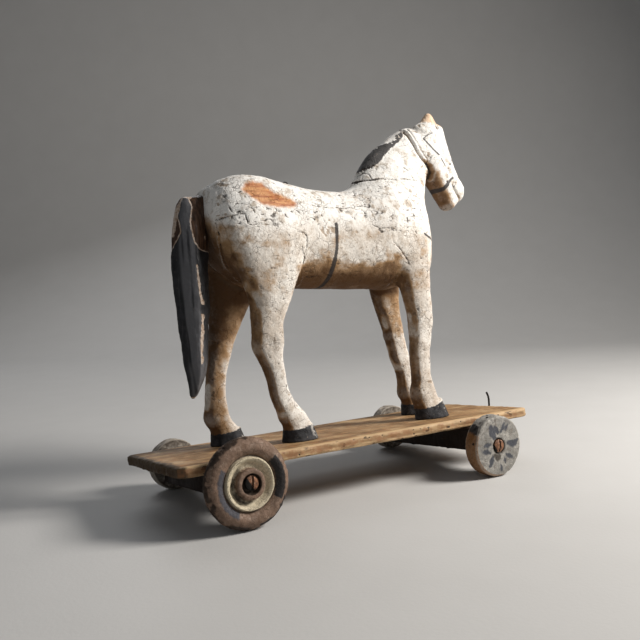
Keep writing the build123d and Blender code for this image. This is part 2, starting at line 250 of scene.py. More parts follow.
# ---- from a field to a mesh ------------------------------------------------------------------------
def surface_net(field, block):
    """Points and quads of the zero level of a field."""
    inside = field < 0
    shape = np.array(field.shape) - 1
    count = sum(inside[i:i + shape[0], j:j + shape[1], k:k + shape[2]].astype(np.int8)
                for i, j, k in CORNERS)
    mixed = (count > 0) & (count < 8)
    cell = np.argwhere(mixed)
    number = np.full(mixed.shape, -1)
    number[mixed] = np.arange(len(cell))
    total, hits = np.zeros((len(cell), 3)), np.zeros(len(cell))
    for axis in range(3):
        along = np.eye(3, dtype=int)[axis]
        for corner in CORNERS:
            if corner[axis]:
                continue
            a = field[tuple((cell + corner).T)]
            b = field[tuple((cell + corner + along).T)]
            crosses = (a < 0) != (b < 0)
            t = np.where(crosses, a / np.where(crosses, a - b, 1), 0)
            total += (corner + t[:, None] * along) * crosses[:, None]
            hits += crosses
    points = block.low + (cell + total / hits[:, None]) * block.step
    quads = []
    for axis in range(3):
        b, c = np.eye(3, dtype=int)[(axis + 1) % 3], np.eye(3, dtype=int)[(axis + 2) % 3]
        head = [slice(None)] * 3
        tail = [slice(None)] * 3
        head[axis], tail[axis] = slice(1, None), slice(None, -1)
        changes = np.argwhere(inside[tuple(head)] != inside[tuple(tail)])
        ring = np.stack([number[tuple((changes - o).T)] for o in (0 * b, b, b + c, c)], axis=-1)
        leaving = inside[tuple(changes.T)]
        quads.append(np.where(leaving[:, None], ring, ring[:, ::-1]))
    return points, np.concatenate(quads)


def read_field(field, block, points):
    """Field values at any points of the block."""
    place = (points - block.low) / block.step
    base = np.clip(np.floor(place).astype(int), 0, np.array(field.shape) - 2)
    part = place - base
    value = 0.0
    for corner in CORNERS:
        share = np.where(corner, part, 1 - part).prod(axis=-1)
        value = value + share * field[tuple((base + corner).T)]
    return value


def slope_of(field, block, points):
    """Direction in which the field grows fastest, and how fast."""
    grown = []
    for axis in range(3):
        nudge = np.eye(3)[axis] * 0.6 * block.step
        rise = read_field(field, block, points + nudge) - read_field(field, block, points - nudge)
        grown.append(rise / (1.2 * block.step[axis]))
    grown = np.stack(grown, axis=-1)
    size = np.maximum(np.linalg.norm(grown, axis=-1), 1e-6)
    return grown / size[:, None], size


def carve(field, block):
    """Points, outward directions and quads of a field's surface, settled onto it."""
    for axis in range(3):
        for end in (0, -1):
            rim = [slice(None)] * 3
            rim[axis] = end
            field[tuple(rim)] = np.maximum(field[tuple(rim)], 0.3)
    points, quads = surface_net(field, block)
    for _ in range(2):
        out, size = slope_of(field, block, points)
        push = np.clip(read_field(field, block, points) / size, -0.4, 0.4)
        points = points - out * push[:, None]
    out, _ = slope_of(field, block, points)
    return points, out, quads


def hollow_measure(points, out, quads, rounds=14):
    """Above zero in hollows and below it on ridges, from how each point stands against its neighbours."""
    smooth = points.copy()
    links = np.concatenate([quads[:, [i, (i + 1) % 4]] for i in range(4)])
    degree = np.bincount(links[:, 0], minlength=len(points))
    for _ in range(rounds):
        mean = np.stack([np.bincount(links[:, 0], smooth[links[:, 1], i], len(points)) for i in range(3)], 1)
        smooth = mean / np.maximum(degree, 1)[:, None]
    return ((smooth - points) * out).sum(axis=1)


def make_piece(name, points, faces, body, material, stands_for, features):
    """Mesh object from frame metres that rides on a body, with one number per point for each feature."""
    mesh = bpy.data.meshes.new(name)
    faces = np.asarray(faces)
    sides = faces.shape[1]
    mesh.vertices.add(len(points))
    mesh.vertices.foreach_set("co", np.asarray(points, np.float32).ravel())
    mesh.loops.add(faces.size)
    mesh.loops.foreach_set("vertex_index", faces.astype(np.int32).ravel())
    mesh.polygons.add(len(faces))
    mesh.polygons.foreach_set("loop_start", np.arange(0, faces.size, sides, dtype=np.int32))
    mesh.polygons.foreach_set("use_smooth", np.ones(len(faces), bool))
    mesh.update(calc_edges=True)
    mesh.validate()
    for feature, values in features.items():
        layer = mesh.attributes.new(feature, "FLOAT", "POINT")
        layer.data.foreach_set("value", np.asarray(values, np.float32))
    mesh.materials.append(material)
    piece = bpy.data.objects.new(name, mesh)
    bpy.context.scene.collection.objects.link(piece)
    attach(piece, body)
    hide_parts(*stands_for)


def sunk(points, out, depth):
    """Points moved inwards by a depth in millimetres."""
    return points - out * depth[:, None]


# ---- materials -------------------------------------------------------------------------------------
class Finish:
    """A material whose node tree is built by calls that return sockets. Sizes are in millimetres."""

    def __init__(self, name, specular=0.3):
        self.material = bpy.data.materials.new(name)
        self.material.use_nodes = True
        self.tree = self.material.node_tree
        self.shader = self.tree.nodes["Principled BSDF"]
        self.shader.inputs["Specular IOR Level"].default_value = specular
        self.place = self.node("ShaderNodeTexCoord").outputs["Object"]
        self.colour = None

    def node(self, kind, inputs=(), **settings):
        made = self.tree.nodes.new(kind)
        for key, value in settings.items():
            setattr(made, key, value)
        for key, value in dict(inputs).items():
            self.feed(made.inputs[key], value)
        return made

    def feed(self, socket, value):
        if isinstance(value, bpy.types.NodeSocket):
            self.tree.links.new(value, socket)
        elif isinstance(value, tuple) and len(value) == 3 and socket.type == "RGBA":
            socket.default_value = (*value, 1)
        else:
            socket.default_value = value

    def feature(self, name, added=None):
        """A number stored on the points, with something added to break up its edge."""
        stored = self.node("ShaderNodeAttribute", attribute_name=name).outputs["Fac"]
        return stored if added is None else self.math("ADD", stored, added)

    def noise(self, size, detail=3.0, roughness=0.55, stretch=(1, 1, 1), wander=0.0):
        place = self.place
        if stretch != (1, 1, 1):
            place = self.node("ShaderNodeMapping", {"Vector": place, "Scale": stretch}).outputs["Vector"]
        made = self.node("ShaderNodeTexNoise", {
            "Vector": place, "Scale": 1000 / size, "Detail": detail,
            "Roughness": roughness, "Distortion": wander})
        return made.outputs["Fac"]

    def crackle(self, size, wobble=0.35):
        """Distance to the nearest line of a network of cracks, about 0 to 0.5."""
        warp = self.node("ShaderNodeTexNoise", {"Vector": self.place, "Scale": 1400 / size, "Detail": 2.0})
        shifted = self.node("ShaderNodeVectorMath", {0: warp.outputs["Color"], 1: (0.5, 0.5, 0.5)},
                            operation="SUBTRACT")
        scaled = self.node("ShaderNodeVectorMath", {0: shifted.outputs[0], "Scale": wobble * size * MM},
                           operation="SCALE")
        moved = self.node("ShaderNodeVectorMath", {0: self.place, 1: scaled.outputs[0]}, operation="ADD")
        made = self.node("ShaderNodeTexVoronoi", {"Vector": moved.outputs[0], "Scale": 1000 / size},
                         feature="DISTANCE_TO_EDGE")
        return made.outputs["Distance"]

    def math(self, operation, a, b):
        return self.node("ShaderNodeMath", {0: a, 1: b}, operation=operation).outputs[0]

    def jitter(self, noise, size):
        """Noise moved to lie about zero, and scaled."""
        return self.math("MULTIPLY", self.math("SUBTRACT", noise, 0.5), size)

    def ramp(self, value, low, high, bottom=0.0, top=1.0):
        made = self.node("ShaderNodeMapRange", {
            "Value": value, "From Min": low, "From Max": high, "To Min": bottom, "To Max": top},
            interpolation_type="SMOOTHSTEP")
        return made.outputs["Result"]

    def mix(self, share, a, b):
        made = self.node("ShaderNodeMix", data_type="RGBA")
        for index, value in ((0, share), (6, a), (7, b)):
            self.feed(made.inputs[index], value)
        return made.outputs[2]

    def blend(self, value, low, high, a, b):
        """The first colour where value is low, the second where it is high."""
        return self.mix(self.ramp(value, low, high), a, b)

    def cover(self, share, shade):
        """Lay a share of a shade over the colour so far."""
        self.colour = self.mix(share, self.colour, shade)

    def lay(self, value, low, high, share, shade):
        """Cover by nothing where value is low, and by share where it is high."""
        self.cover(self.ramp(value, low, high, 0, share), shade)

    def finish(self, roughness, heights):
        """heights: (height socket, millimetres) pairs, applied one after another."""
        self.feed(self.shader.inputs["Base Color"], self.colour)
        self.feed(self.shader.inputs["Roughness"], roughness)
        normal = None
        for height, depth in heights:
            inputs = {"Height": height, "Distance": depth * MM}
            if normal is not None:
                inputs["Normal"] = normal
            normal = self.node("ShaderNodeBump", inputs).outputs["Normal"]
        self.feed(self.shader.inputs["Normal"], normal)
        return self.material


def dimmed(colour, share):
    return tuple(share * part for part in colour)


def painted_horse():
    """Chalk ground and aged white paint: hand-painted black, bare wood, soiling, cracks, painted shade and
    highlights.
    """
    f = Finish("aged_white_paint", specular=0.22)
    blotch, grit, speck = f.noise(9, 4, 0.6), f.noise(1.3, 4, 0.65), f.noise(2.6, 3, 0.6)
    height = f.node("ShaderNodeSeparateXYZ", {0: f.place}).outputs["Z"]
    f.colour = f.blend(f.noise(34, 3), 0.35, 0.65, (0.58, 0.51, 0.435), (0.78, 0.735, 0.67))
    f.lay(blotch, 0.44, 0.70, 0.60, (0.42, 0.345, 0.27))
    f.lay(f.noise(4.2, 3, 0.6), 0.54, 0.66, 0.35, (0.80, 0.77, 0.71))
    f.lay(grit, 0.46, 0.70, 0.55, (0.36, 0.28, 0.21))
    f.lay(speck, 0.60, 0.70, 0.60, (0.20, 0.135, 0.085))
    # painted highlight: the paint whitens high up, on the lit back and withers
    painted_top_light = f.ramp(height, 0.218, 0.240, 0, 0.75)
    f.cover(f.math("MULTIPLY", painted_top_light, f.ramp(blotch, 0.66, 0.5)), (0.89, 0.87, 0.83))

    cracked = f.ramp(f.noise(21, 3), 0.42, 0.62)
    fine_line = f.math("MULTIPLY", f.ramp(f.crackle(3.4), 0.07, 0.0), cracked)
    cracked_wide = f.ramp(f.noise(13, 2), 0.45, 0.58)
    wide_line = f.math("MULTIPLY", f.ramp(f.crackle(9.5, 0.5), 0.028, 0.0), cracked_wide)
    f.cover(f.math("MULTIPLY", fine_line, 0.34), (0.22, 0.15, 0.10))
    f.cover(f.math("MULTIPLY", wide_line, 0.32), (0.15, 0.10, 0.07))

    # brown from the stored darkening: mostly painted shade under, behind and between the parts, some soiling
    stain_and_shade = f.feature("soil_and_shade", f.jitter(blotch, 0.9))
    f.lay(stain_and_shade, 0.08, 0.70, 0.90, (0.33, 0.185, 0.072))
    f.lay(stain_and_shade, 0.50, 1.15, 0.9, (0.105, 0.050, 0.020))
    hollow = f.feature("hollow", f.jitter(speck, 0.3))
    # painted shade darkens hollows, and painted highlight lightens ridges
    f.lay(hollow, 0.06, 0.55, 0.85, (0.13, 0.085, 0.05))
    f.lay(hollow, -0.10, -0.5, 0.35, (0.86, 0.83, 0.77))

    ragged = f.jitter(f.noise(3.2, 4, 0.65), 4.2)
    frayed = f.jitter(f.noise(1.5, 3, 0.6), 2.2)
    chip = f.feature("chip", f.math("MULTIPLY", frayed, 0.12))
    f.lay(chip, 0.42, 0.62, 0.75, f.mix(grit, (0.24, 0.165, 0.105), (0.44, 0.33, 0.23)))

    grain = f.noise(2.4, 4, 0.6, stretch=(0.12, 1, 1))
    wood = f.blend(grain, 0.35, 0.65, (0.36, 0.115, 0.034), (0.60, 0.285, 0.110))
    ear_wood = f.blend(grain, 0.3, 0.7, (0.60, 0.40, 0.25), (0.72, 0.53, 0.37))
    f.lay(f.feature("bare", ragged), 2.4, -2.0, 0.95, f.blend(height, 0.316, 0.322, wood, ear_wood))

    coal = f.blend(f.noise(6, 4, 0.6), 0.35, 0.7, (0.018, 0.018, 0.020), (0.052, 0.052, 0.056))
    # black higher up, on the mane, is lighter: painted light on its lit top
    coal = f.blend(height, 0.24, 0.26, coal, (0.085, 0.080, 0.078))
    coal = f.mix(f.ramp(speck, 0.64, 0.76, 0, 0.6), coal, (0.34, 0.29, 0.23))
    # grey on the black where it is worn, and painted highlight on faces that meet the light
    worn_and_lit_edge = f.math("MULTIPLY", f.ramp(f.feature("rubbed_and_lit"), 0.2, 0.8), f.ramp(blotch, 0.48, 0.60))
    coal = f.mix(f.math("MULTIPLY", worn_and_lit_edge, 0.8), coal, (0.46, 0.44, 0.41))
    f.lay(f.feature("black", ragged), 0.35, -0.35, 1, coal)

    f.lay(f.feature("stroke", f.math("MULTIPLY", frayed, 0.55)), 0.6, -0.6, 0.93, (0.028, 0.025, 0.025))
    f.lay(f.feature("crack", f.math("MULTIPLY", frayed, 0.35)), 0.66, 0.12, 0.95, (0.040, 0.026, 0.018))
    heights = [(f.math("SUBTRACT", 1, fine_line), 0.22), (f.math("SUBTRACT", 1, wide_line), 0.5), (grit, 0.35),
               (blotch, 0.5)]
    return f.finish(f.ramp(blotch, 0.3, 0.7, 0.58, 0.86), heights)


def weathered_wood(name, dark, light, worn, grain_axis=0):
    """Bare old wood with long grain, pores, stains, darkened or polished edges, and painted shade in hollows and
    beneath.
    """
    f = Finish(name, specular=0.25)
    along, along_pores = [1.0] * 3, [1.0] * 3
    along[grain_axis], along_pores[grain_axis] = 0.055, 3.2 * 0.055
    rings = f.noise(5.2, 4, 0.6, stretch=tuple(along), wander=0.5)
    fibre = f.noise(0.9, 3, 0.6, stretch=tuple(along))
    pores = f.noise(1.6, 2, 0.5, stretch=tuple(along_pores))
    stain_and_shade = f.noise(26, 4, 0.62)
    f.colour = f.blend(rings, 0.32, 0.68, dark, light)
    f.lay(fibre, 0.42, 0.70, 0.55, dimmed(dark, 0.45))
    f.lay(pores, 0.58, 0.72, 0.65, dimmed(dark, 0.25))
    f.lay(stain_and_shade, 0.46, 0.70, 0.60, dimmed(dark, 0.5))
    f.lay(f.noise(9, 4, 0.6), 0.52, 0.66, 0.5, (1.5 * dark[0], 1.2 * dark[1], dark[2]))
    f.lay(stain_and_shade, 0.48, 0.30, 0.45, worn)
    hollow = f.feature("hollow")
    # painted shade in hollows
    f.lay(hollow, 0.05, 0.45, 0.85, dimmed(dark, 0.16))
    f.lay(hollow, -0.10, -0.45, 0.6, worn)
    # from the stored feature: soiling, and on the board painted shade on its underside
    f.lay(f.feature("soil_and_shade", f.jitter(f.noise(7, 4, 0.65), 1.3)), 0.25, 0.8, 0.9, dimmed(dark, 0.13))
    f.lay(f.feature("red", f.jitter(f.noise(3.4, 4, 0.65), 1.6)), 0.35, 0.95, 0.62, (0.235, 0.100, 0.040))
    f.lay(f.feature("crack", f.jitter(pores, 0.8)), 0.6, 0.0, 1, (0.018, 0.010, 0.006))
    heights = [(rings, 0.5), (fibre, 0.25), (f.math("SUBTRACT", 1, pores), 0.2)]
    return f.finish(f.ramp(stain_and_shade, 0.3, 0.7, 0.50, 0.74), heights)


# feature, shade, softness of its edge, share, and whether the edge is ragged or only frayed
WHEEL_MARKS = [
    ("cream", (0.60, 0.52, 0.37), 0.4, 0.95, False), ("coal", (0.011, 0.010, 0.011), 0.8, 0.97, True),
    ("slate", (0.052, 0.056, 0.070), 0.9, 0.92, True), ("grease", (0.045, 0.034, 0.024), 1.2, 0.85, True),
    ("rust_and_shade", (0.250, 0.115, 0.038), 1.6, 0.85, True),
]


def worn_paint(name, paint, under, chalk):
    """Thin old paint on wood, worn through to the wood, overlaid with marks and soiling, and painted shade."""
    f = Finish(name, specular=0.25)
    broad, blotch, grit = f.noise(15, 4, 0.6), f.noise(4.2, 4, 0.62), f.noise(1.2, 3, 0.6)
    f.colour = f.blend(broad, 0.35, 0.65, dimmed(paint, 0.78), dimmed(paint, 1.16))
    f.lay(blotch, 0.52, 0.70, 0.5, under)
    f.lay(blotch, 0.46, 0.30, 0.55, chalk)
    f.lay(grit, 0.56, 0.74, 0.5, dimmed(under, 0.28))
    ragged_edge = f.jitter(f.noise(2.6, 4, 0.65), 3.4)
    frayed_edge = f.jitter(f.noise(1.1, 3, 0.6), 1.6)
    for feature, shade, softness, share, is_ragged in WHEEL_MARKS:
        edge = f.feature(feature, ragged_edge if is_ragged else frayed_edge)
        mottled = f.mix(f.ramp(grit, 0.42, 0.68, 0, 0.6), shade, dimmed(shade, 0.5))
        f.lay(edge, softness, -softness, share, mottled)
    # from the stored feature: soiling, and painted shade on the wheel's inner face and recess
    f.lay(f.feature("soil_and_shade", f.jitter(blotch, 1.2)), 0.2, 0.85, 0.9, dimmed(under, 0.16))
    hollow = f.feature("hollow")
    # painted shade in hollows
    f.lay(hollow, 0.06, 0.4, 0.8, dimmed(under, 0.12))
    f.lay(hollow, -0.15, -0.5, 0.45, chalk)
    f.lay(f.feature("crack", f.math("MULTIPLY", frayed_edge, 0.25)), 0.6, 0.0, 1, (0.016, 0.011, 0.008))
    lines = f.ramp(f.crackle(4.5, 0.5), 0.05, 0.0)
    f.cover(f.math("MULTIPLY", lines, f.ramp(broad, 0.45, 0.6, 0, 0.5)), dimmed(under, 0.2))
    heights = [(blotch, 0.35), (grit, 0.3), (f.math("SUBTRACT", 1, lines), 0.15)]
    return f.finish(f.ramp(blotch, 0.3, 0.7, 0.5, 0.8), heights)


def tail_paint():
    """Black paint on brown wood, cream ground at its flaked edges, painted light on its lit plane and painted
    shade in hollows.
    """
    f = Finish("tail_black_paint", specular=0.3)
    blotch, speck = f.noise(7, 4, 0.6), f.noise(2.2, 3, 0.6)
    grain = f.noise(2.2, 4, 0.6, stretch=(1, 1, 0.08))
    ragged = f.jitter(f.noise(3.6, 4, 0.65), 5.0)
    cream = f.blend(speck, 0.4, 0.65, (0.56, 0.46, 0.38), (0.34, 0.23, 0.155))
    f.colour = f.blend(grain, 0.35, 0.65, (0.028, 0.014, 0.008), (0.095, 0.048, 0.026))
    f.lay(blotch, 0.64, 0.70, 1, cream)
    f.lay(f.feature("cream", ragged), 0.5, -0.5, 1, cream)
    black = f.feature("black", f.math("MULTIPLY", ragged, 0.42))
    f.lay(f.math("ABSOLUTE", f.math("SUBTRACT", black, 0.5), 0), 0.85, 0.3, 1, cream)
    coal = f.blend(blotch, 0.35, 0.7, (0.009, 0.009, 0.010), (0.026, 0.026, 0.029))
    # lighter band on the right plane: painted highlight where the light falls, with worn streaks
    coal = f.mix(f.ramp(f.feature("rubbed_and_lit"), 0.0, 1.0, 0, 0.9), coal, (0.120, 0.118, 0.124))
    coal = f.mix(f.ramp(grain, 0.56, 0.72, 0, 0.4), coal, (0.12, 0.115, 0.118))
    coal = f.mix(f.ramp(speck, 0.66, 0.74, 0, 0.55), coal, (0.20, 0.15, 0.11))
    painted = f.ramp(black, 0.3, -0.2)
    f.cover(painted, coal)
    # painted shade in hollows
    f.lay(f.feature("hollow"), 0.08, 0.5, 0.7, (0.02, 0.012, 0.008))
    return f.finish(f.ramp(blotch, 0.3, 0.7, 0.42, 0.62), [(grain, 0.45), (painted, 0.35), (speck, 0.2)])


def rusty_iron():
    f = Finish("rusty_iron", specular=0.4)
    scale_patches, grit = f.noise(2.2, 5, 0.65), f.noise(0.5, 4, 0.6)
    f.colour = f.blend(scale_patches, 0.38, 0.62, (0.105, 0.050, 0.030), (0.30, 0.135, 0.065))
    f.lay(grit, 0.5, 0.7, 0.6, (0.035, 0.020, 0.015))
    rub = f.math("MULTIPLY", f.ramp(f.feature("hollow"), -0.02, -0.2), f.ramp(scale_patches, 0.4, 0.6))
    f.cover(f.math("MULTIPLY", rub, 0.5), (0.52, 0.36, 0.26))
    # near-black in the slot and in the painted shadow on the head
    f.lay(f.feature("crack"), 0.5, 0.0, 1, (0.010, 0.007, 0.005))
    f.shader.inputs["Metallic"].default_value = 0.35
    return f.finish(f.ramp(grit, 0.3, 0.7, 0.48, 0.8), [(scale_patches, 0.25), (grit, 0.15)])


horse_paint = painted_horse()
board_wood = weathered_wood("old_pine", (0.22, 0.120, 0.052), (0.46, 0.285, 0.135), (0.62, 0.44, 0.25))
tail_black = tail_paint()
block_wood = weathered_wood("block_wood", (0.085, 0.042, 0.022), (0.155, 0.080, 0.042),
                            (0.22, 0.125, 0.070), grain_axis=1)
peg_wood = weathered_wood("peg_wood", (0.30, 0.19, 0.10), (0.47, 0.33, 0.19), (0.60, 0.46, 0.30), grain_axis=2)
turned_paint = worn_paint("turned_wheel_paint", (0.190, 0.122, 0.085), (0.110, 0.064, 0.038),
                          (0.31, 0.225, 0.165))
disc_paint = worn_paint("disc_wheel_paint", (0.27, 0.255, 0.230), (0.13, 0.098, 0.070), (0.47, 0.44, 0.385))
small_paint = worn_paint("small_wheel_paint", (0.34, 0.295, 0.245), (0.21, 0.14, 0.09), (0.50, 0.45, 0.38))
iron = rusty_iron()

# ---- the horse: listed sections --------------------------------------------------------------------
# distance forward, middle height, half height, half width
BARREL = [
    (-121, 199, 1, 1), (-118.5, 197, 15, 14), (-112, 190, 29, 26), (-98, 184, 41, 36.5),
    (-78, 180, 47.5, 40.5), (-50, 178.5, 46, 39), (-20, 174.5, 45, 37), (10, 172.5, 44.5, 36.5),
    (40, 172.5, 46, 37), (70, 174, 48.5, 36.5), (95, 176, 43.5, 31), (107, 174.5, 33, 22),
    (114.5, 173, 17, 11), (117, 173, 1, 1),
]
BARREL_SQUARENESS = 2.2
# back point, front point, half width
NECK_SQUARENESS, NECK_CREST = 2.1, 0.14
HEAD_SQUARENESS, HEAD_CREST = 2.5, -0.16
NECK = [
    ((18, 190), (114, 140), 28), ((30, 210), (116, 166), 28), ((41, 230), (118, 196), 22.5),
    ((56, 250), (120.5, 216), 18.5), ((77, 266.5), (125.5, 234), 15.5), ((99, 280), (133, 252), 13.5),
    ((112, 284), (140, 262), 11),
]
HEAD = [
    ((120, 281), (146, 291), 8), ((113, 269), (153, 286), 12.5), ((118, 255), (156, 271), 13.5),
    ((125, 238), (161, 254), 12.5), ((133.5, 224), (167, 241), 10.8), ((141, 213.5), (172, 230), 9.8),
    ((146.5, 205.5), (173, 218.5), 9), ((150.5, 202.5), (167.5, 210.5), 6),
]
# height, back, front, middle y, half width, squareness
RIGHT_HIND = [
    (9, -69, -43.5, -23, 10.3, 2.4), (14, -70, -45, -23, 9.8, 2.4), (20, -72.5, -48.5, -23.5, 9.3, 2.5),
    (37, -79, -61.5, -24, 8.3, 2.9), (59, -83, -67.5, -24, 8.3, 3.0), (80, -91.5, -68, -24.5, 9.8, 2.8),
    (95, -92, -66.5, -25, 10.3, 2.7), (124, -93.5, -55, -26, 12.8, 2.6), (150, -103, -43, -27, 14.8, 2.6),
    (172, -110, -38.5, -27, 15.6, 2.7), (184, -110, -40, -25.5, 14.6, 2.6), (194, -104, -50, -22, 11, 2.4),
]
LEFT_HIND = [
    (9, -115, -88.5, 24, 10.3, 2.4), (14, -116, -91.5, 24, 9.8, 2.4), (20, -119, -96, 24, 9.3, 2.5),
    (38, -118, -100.5, 24, 8.3, 2.9), (60, -115.5, -98, 24, 8.3, 3.0), (90, -109.5, -87, 24.5, 9.8, 2.8),
    (117, -107, -71, 26, 12.5, 2.6), (146, -107, -55, 27, 14.8, 2.6), (172, -110, -40, 27, 15.6, 2.7),
    (184, -110, -41, 25.5, 14.6, 2.6), (194, -104, -50, 22, 11, 2.4),
]
RIGHT_FORE = [
    (9, 74, 102, -22, 10.3, 2.4), (14, 72.5, 100, -22, 9.8, 2.4), (22, 71, 96, -22, 9.0, 2.5),
    (40, 73, 91, -22, 8, 2.9), (60, 73.5, 92, -22, 8, 3.0), (80, 75, 95.5, -22, 8.6, 2.9),
    (95, 74.5, 97.5, -22.5, 9.2, 2.8), (125, 68, 98.5, -23, 11, 2.6), (150, 65, 100, -23, 12, 2.5),
    (168, 65, 100, -22, 12, 2.4), (182, 67, 98, -19, 10.5, 2.2),
]
LEFT_FORE = [
    (9, 94.5, 120.5, 24, 10.3, 2.4), (14, 93.5, 118.5, 24, 9.8, 2.4), (20, 91.5, 116, 24, 9.3, 2.5),
    (36, 91, 110, 24, 8, 2.9), (60, 84, 102.5, 24, 8, 3.0), (89, 77.5, 97, 24, 8.8, 2.9),
    (110, 71, 96.5, 24, 10, 2.6), (130, 66, 98, 24, 11, 2.5), (150, 64.5, 100, 24, 12, 2.5),
    (168, 65, 100, 22.5, 12, 2.4), (182, 67, 98, 19.5, 10.5, 2.2),
]
# back at the ground, front at the ground, back and front at the top, middle y, half width, height at the toe
HOOVES = {
    "right_hind_leg": (-71.5, -39.5, -69, -44, -23, 12, 14.5),
    "left_hind_leg": (-116.5, -84.5, -115, -89, 24, 12, 14.5),
    "right_fore_leg": (73, 109, 73.5, 102, -22, 12, 18.5),
    "left_fore_leg": (92.5, 127.5, 93.5, 121, 24, 12, 18.5),
}
LEGS = {"right_hind_leg": RIGHT_HIND, "left_hind_leg": LEFT_HIND,
        "right_fore_leg": RIGHT_FORE, "left_fore_leg": LEFT_FORE}
HOOF_HEEL = 10.5           # height at the heel
# height, back, front, middle y, half width, squareness
TAIL = [
    (44, -142, -138, 0, 3, 1.5), (48, -142.5, -135, 0, 5, 1.45), (58, -143.5, -129, 0, 8.5, 1.4),
    (93, -146, -121.5, 0, 12.5, 1.4), (132, -148.5, -117.5, 0, 16, 1.4), (165, -148, -115.5, 0, 16, 1.45),
    (186, -145, -115, 0, 14.5, 1.6), (200, -141, -114, 0, 11.5, 1.8), (209, -135, -114, 0, 7.5, 2),
]


def barrel_field(b):
    middle, half_height, half_width = [c[:, None, None] for c in follow(BARREL, b.x[:, 0, 0])]
    half_height, half_width = np.maximum(half_height, 0.5), np.maximum(half_width, 0.5)
    section = oval(b.y, b.z - middle, half_width, half_height, BARREL_SQUARENESS)
    past_the_ends = np.maximum(BARREL[0][0] - b.x, b.x - BARREL[-1][0])
    return np.maximum(section, past_the_ends)


def coronet_height(x, back, front, toe):
    """Height of the line between hoof and leg, which rises towards the toe."""
    return HOOF_HEEL + (toe - HOOF_HEEL) * np.clip((x - back) / (front - back), 0, 1) ** 1.5


def leg_field(b, name):
    """A leg from the fetlock up, with its joints, and the hoof under it."""
    leg = upright_loft(b, LEGS[name])
    side = -1 if name.startswith("right") else 1
    rows = {row[0]: row for row in LEGS[name]}
    if "hind" in name:
        hock = rows[80] if side < 0 else rows[90]
        top = 4 if side < 0 else 2
        leg = merge(leg, ball(b, (hock[1] + 4.5, hock[3], hock[0] + top), (5.5, 6, 8), -20), 4)
        leg = merge(leg, ball(b, (hock[2] - 7, hock[3] + side * 2, hock[0] + 8), (7, 8.6, 10)), 5)
    else:
        knee = rows[95] if side < 0 else rows[89]
        leg = merge(leg, ball(b, (knee[2] - 6.5, knee[3], knee[0] - 3), (7, 8, 11)), 3)
        leg = merge(leg, ball(b, (knee[1] + 6, knee[3], knee[0] - 8), (5, 6, 6)), 3)
    ankle = rows[22] if 22 in rows else rows[20]
    leg = merge(leg, ball(b, (ankle[1] + 6, ankle[3], ankle[0] + 3), (6.2, 8.4, 7)), 4)
    back, front, top_back, top_front, middle, half_width, toe = HOOVES[name]
    rise = np.clip(b.z / 14, 0, 1)
    back, front = back + (top_back - back) * rise, front + (top_front - front) * rise
    hoof = oval(b.x - (back + front) / 2, b.y - middle, (front - back) / 2, half_width - 1.4 * rise, 2.3)
    hoof = -merge(-hoof, -(b.z - coronet_height(b.x, back, front, toe)), 1.6)
    return merge(np.maximum(leg, 6 - b.z), hoof, 1.2)


def horse_field(b, leg_names):
    """Barrel, neck and the named legs as one carved form."""
    body = barrel_field(b)
    for side in (-1, 1):
        body = merge(body, ball(b, (-84, side * 17, 190), (34, 19, 33), 12), 10)
        body = merge(body, ball(b, (62, side * 20, 184), (30, 17.0, 30), -30), 10)
        body = merge(body, ball(b, (92, side * 14, 164), (14, 12.5, 22), 15), 8)
    body = merge(body, slanted_loft(b, NECK, NECK_SQUARENESS, NECK_CREST), 9)
    body = cut(body, rod(b, (-124, 0, 214), (-116, 0, 132), 3, 8), 9)
    for name in leg_names:
        body = merge(body, leg_field(b, name), 4.5 if "hind" in name else 5.5)
    body = cut(body, rod(b, (-112, 0, 118), (-44, 0, 118), 7, 5), 9)
    return body


# ---- how the horse is divided into its blocks of wood ----------------------------------------------
SEAM_DEPTH = 0.14          # how far under the body's surface a leg's block shows in its joint
SEAM_OVERLAP = 1.5         # how far one block runs on inside the next
NECK_JOINT = 227.0         # height of the joint between body and neck
FORE_JOINT_SIDE = 9.0      # how far from the middle the inner face of a fore leg's block stands
THROAT_X = 129.0           # ahead of this the head hangs free of the neck
HIND_JOINT = [
    (-130, 186), (-116, 188), (-98, 190.5), (-97, 182), (-88, 180.5), (-66, 180), (-50, 176), (-42.5, 173),
    (-40.8, 163), (-43, 154), (-45, 146), (-40, 136), (-36, 120), (-30, -5), (-135, -5),
]
FORE_JOINT = [
    (51, 166), (50, 177), (75, 178.5), (98, 175), (113, 168), (130, 150), (135, -5), (55, -5),
    (58, 120), (66, 140), (70.5, 146), (66, 152), (61.5, 157.5), (57, 161.5),
]


def thigh_plane(z):
    """How far from the middle the inner face of a hind leg's block stands."""
    return 7 + 0.47 * np.clip(z - 139, 0, 35) - 5 * ramp(z, 139, 120)


def leg_joint(x, y, z, name):
    """Below zero in the block of wood that a leg is carved from, at points or over a block of space."""
    side = -1 if name.startswith("right") else 1
    outline, inner = (HIND_JOINT, thigh_plane(z)) if "hind" in name else (FORE_JOINT, FORE_JOINT_SIDE)
    return np.maximum(area_gap(x, z, outline), inner - side * y)


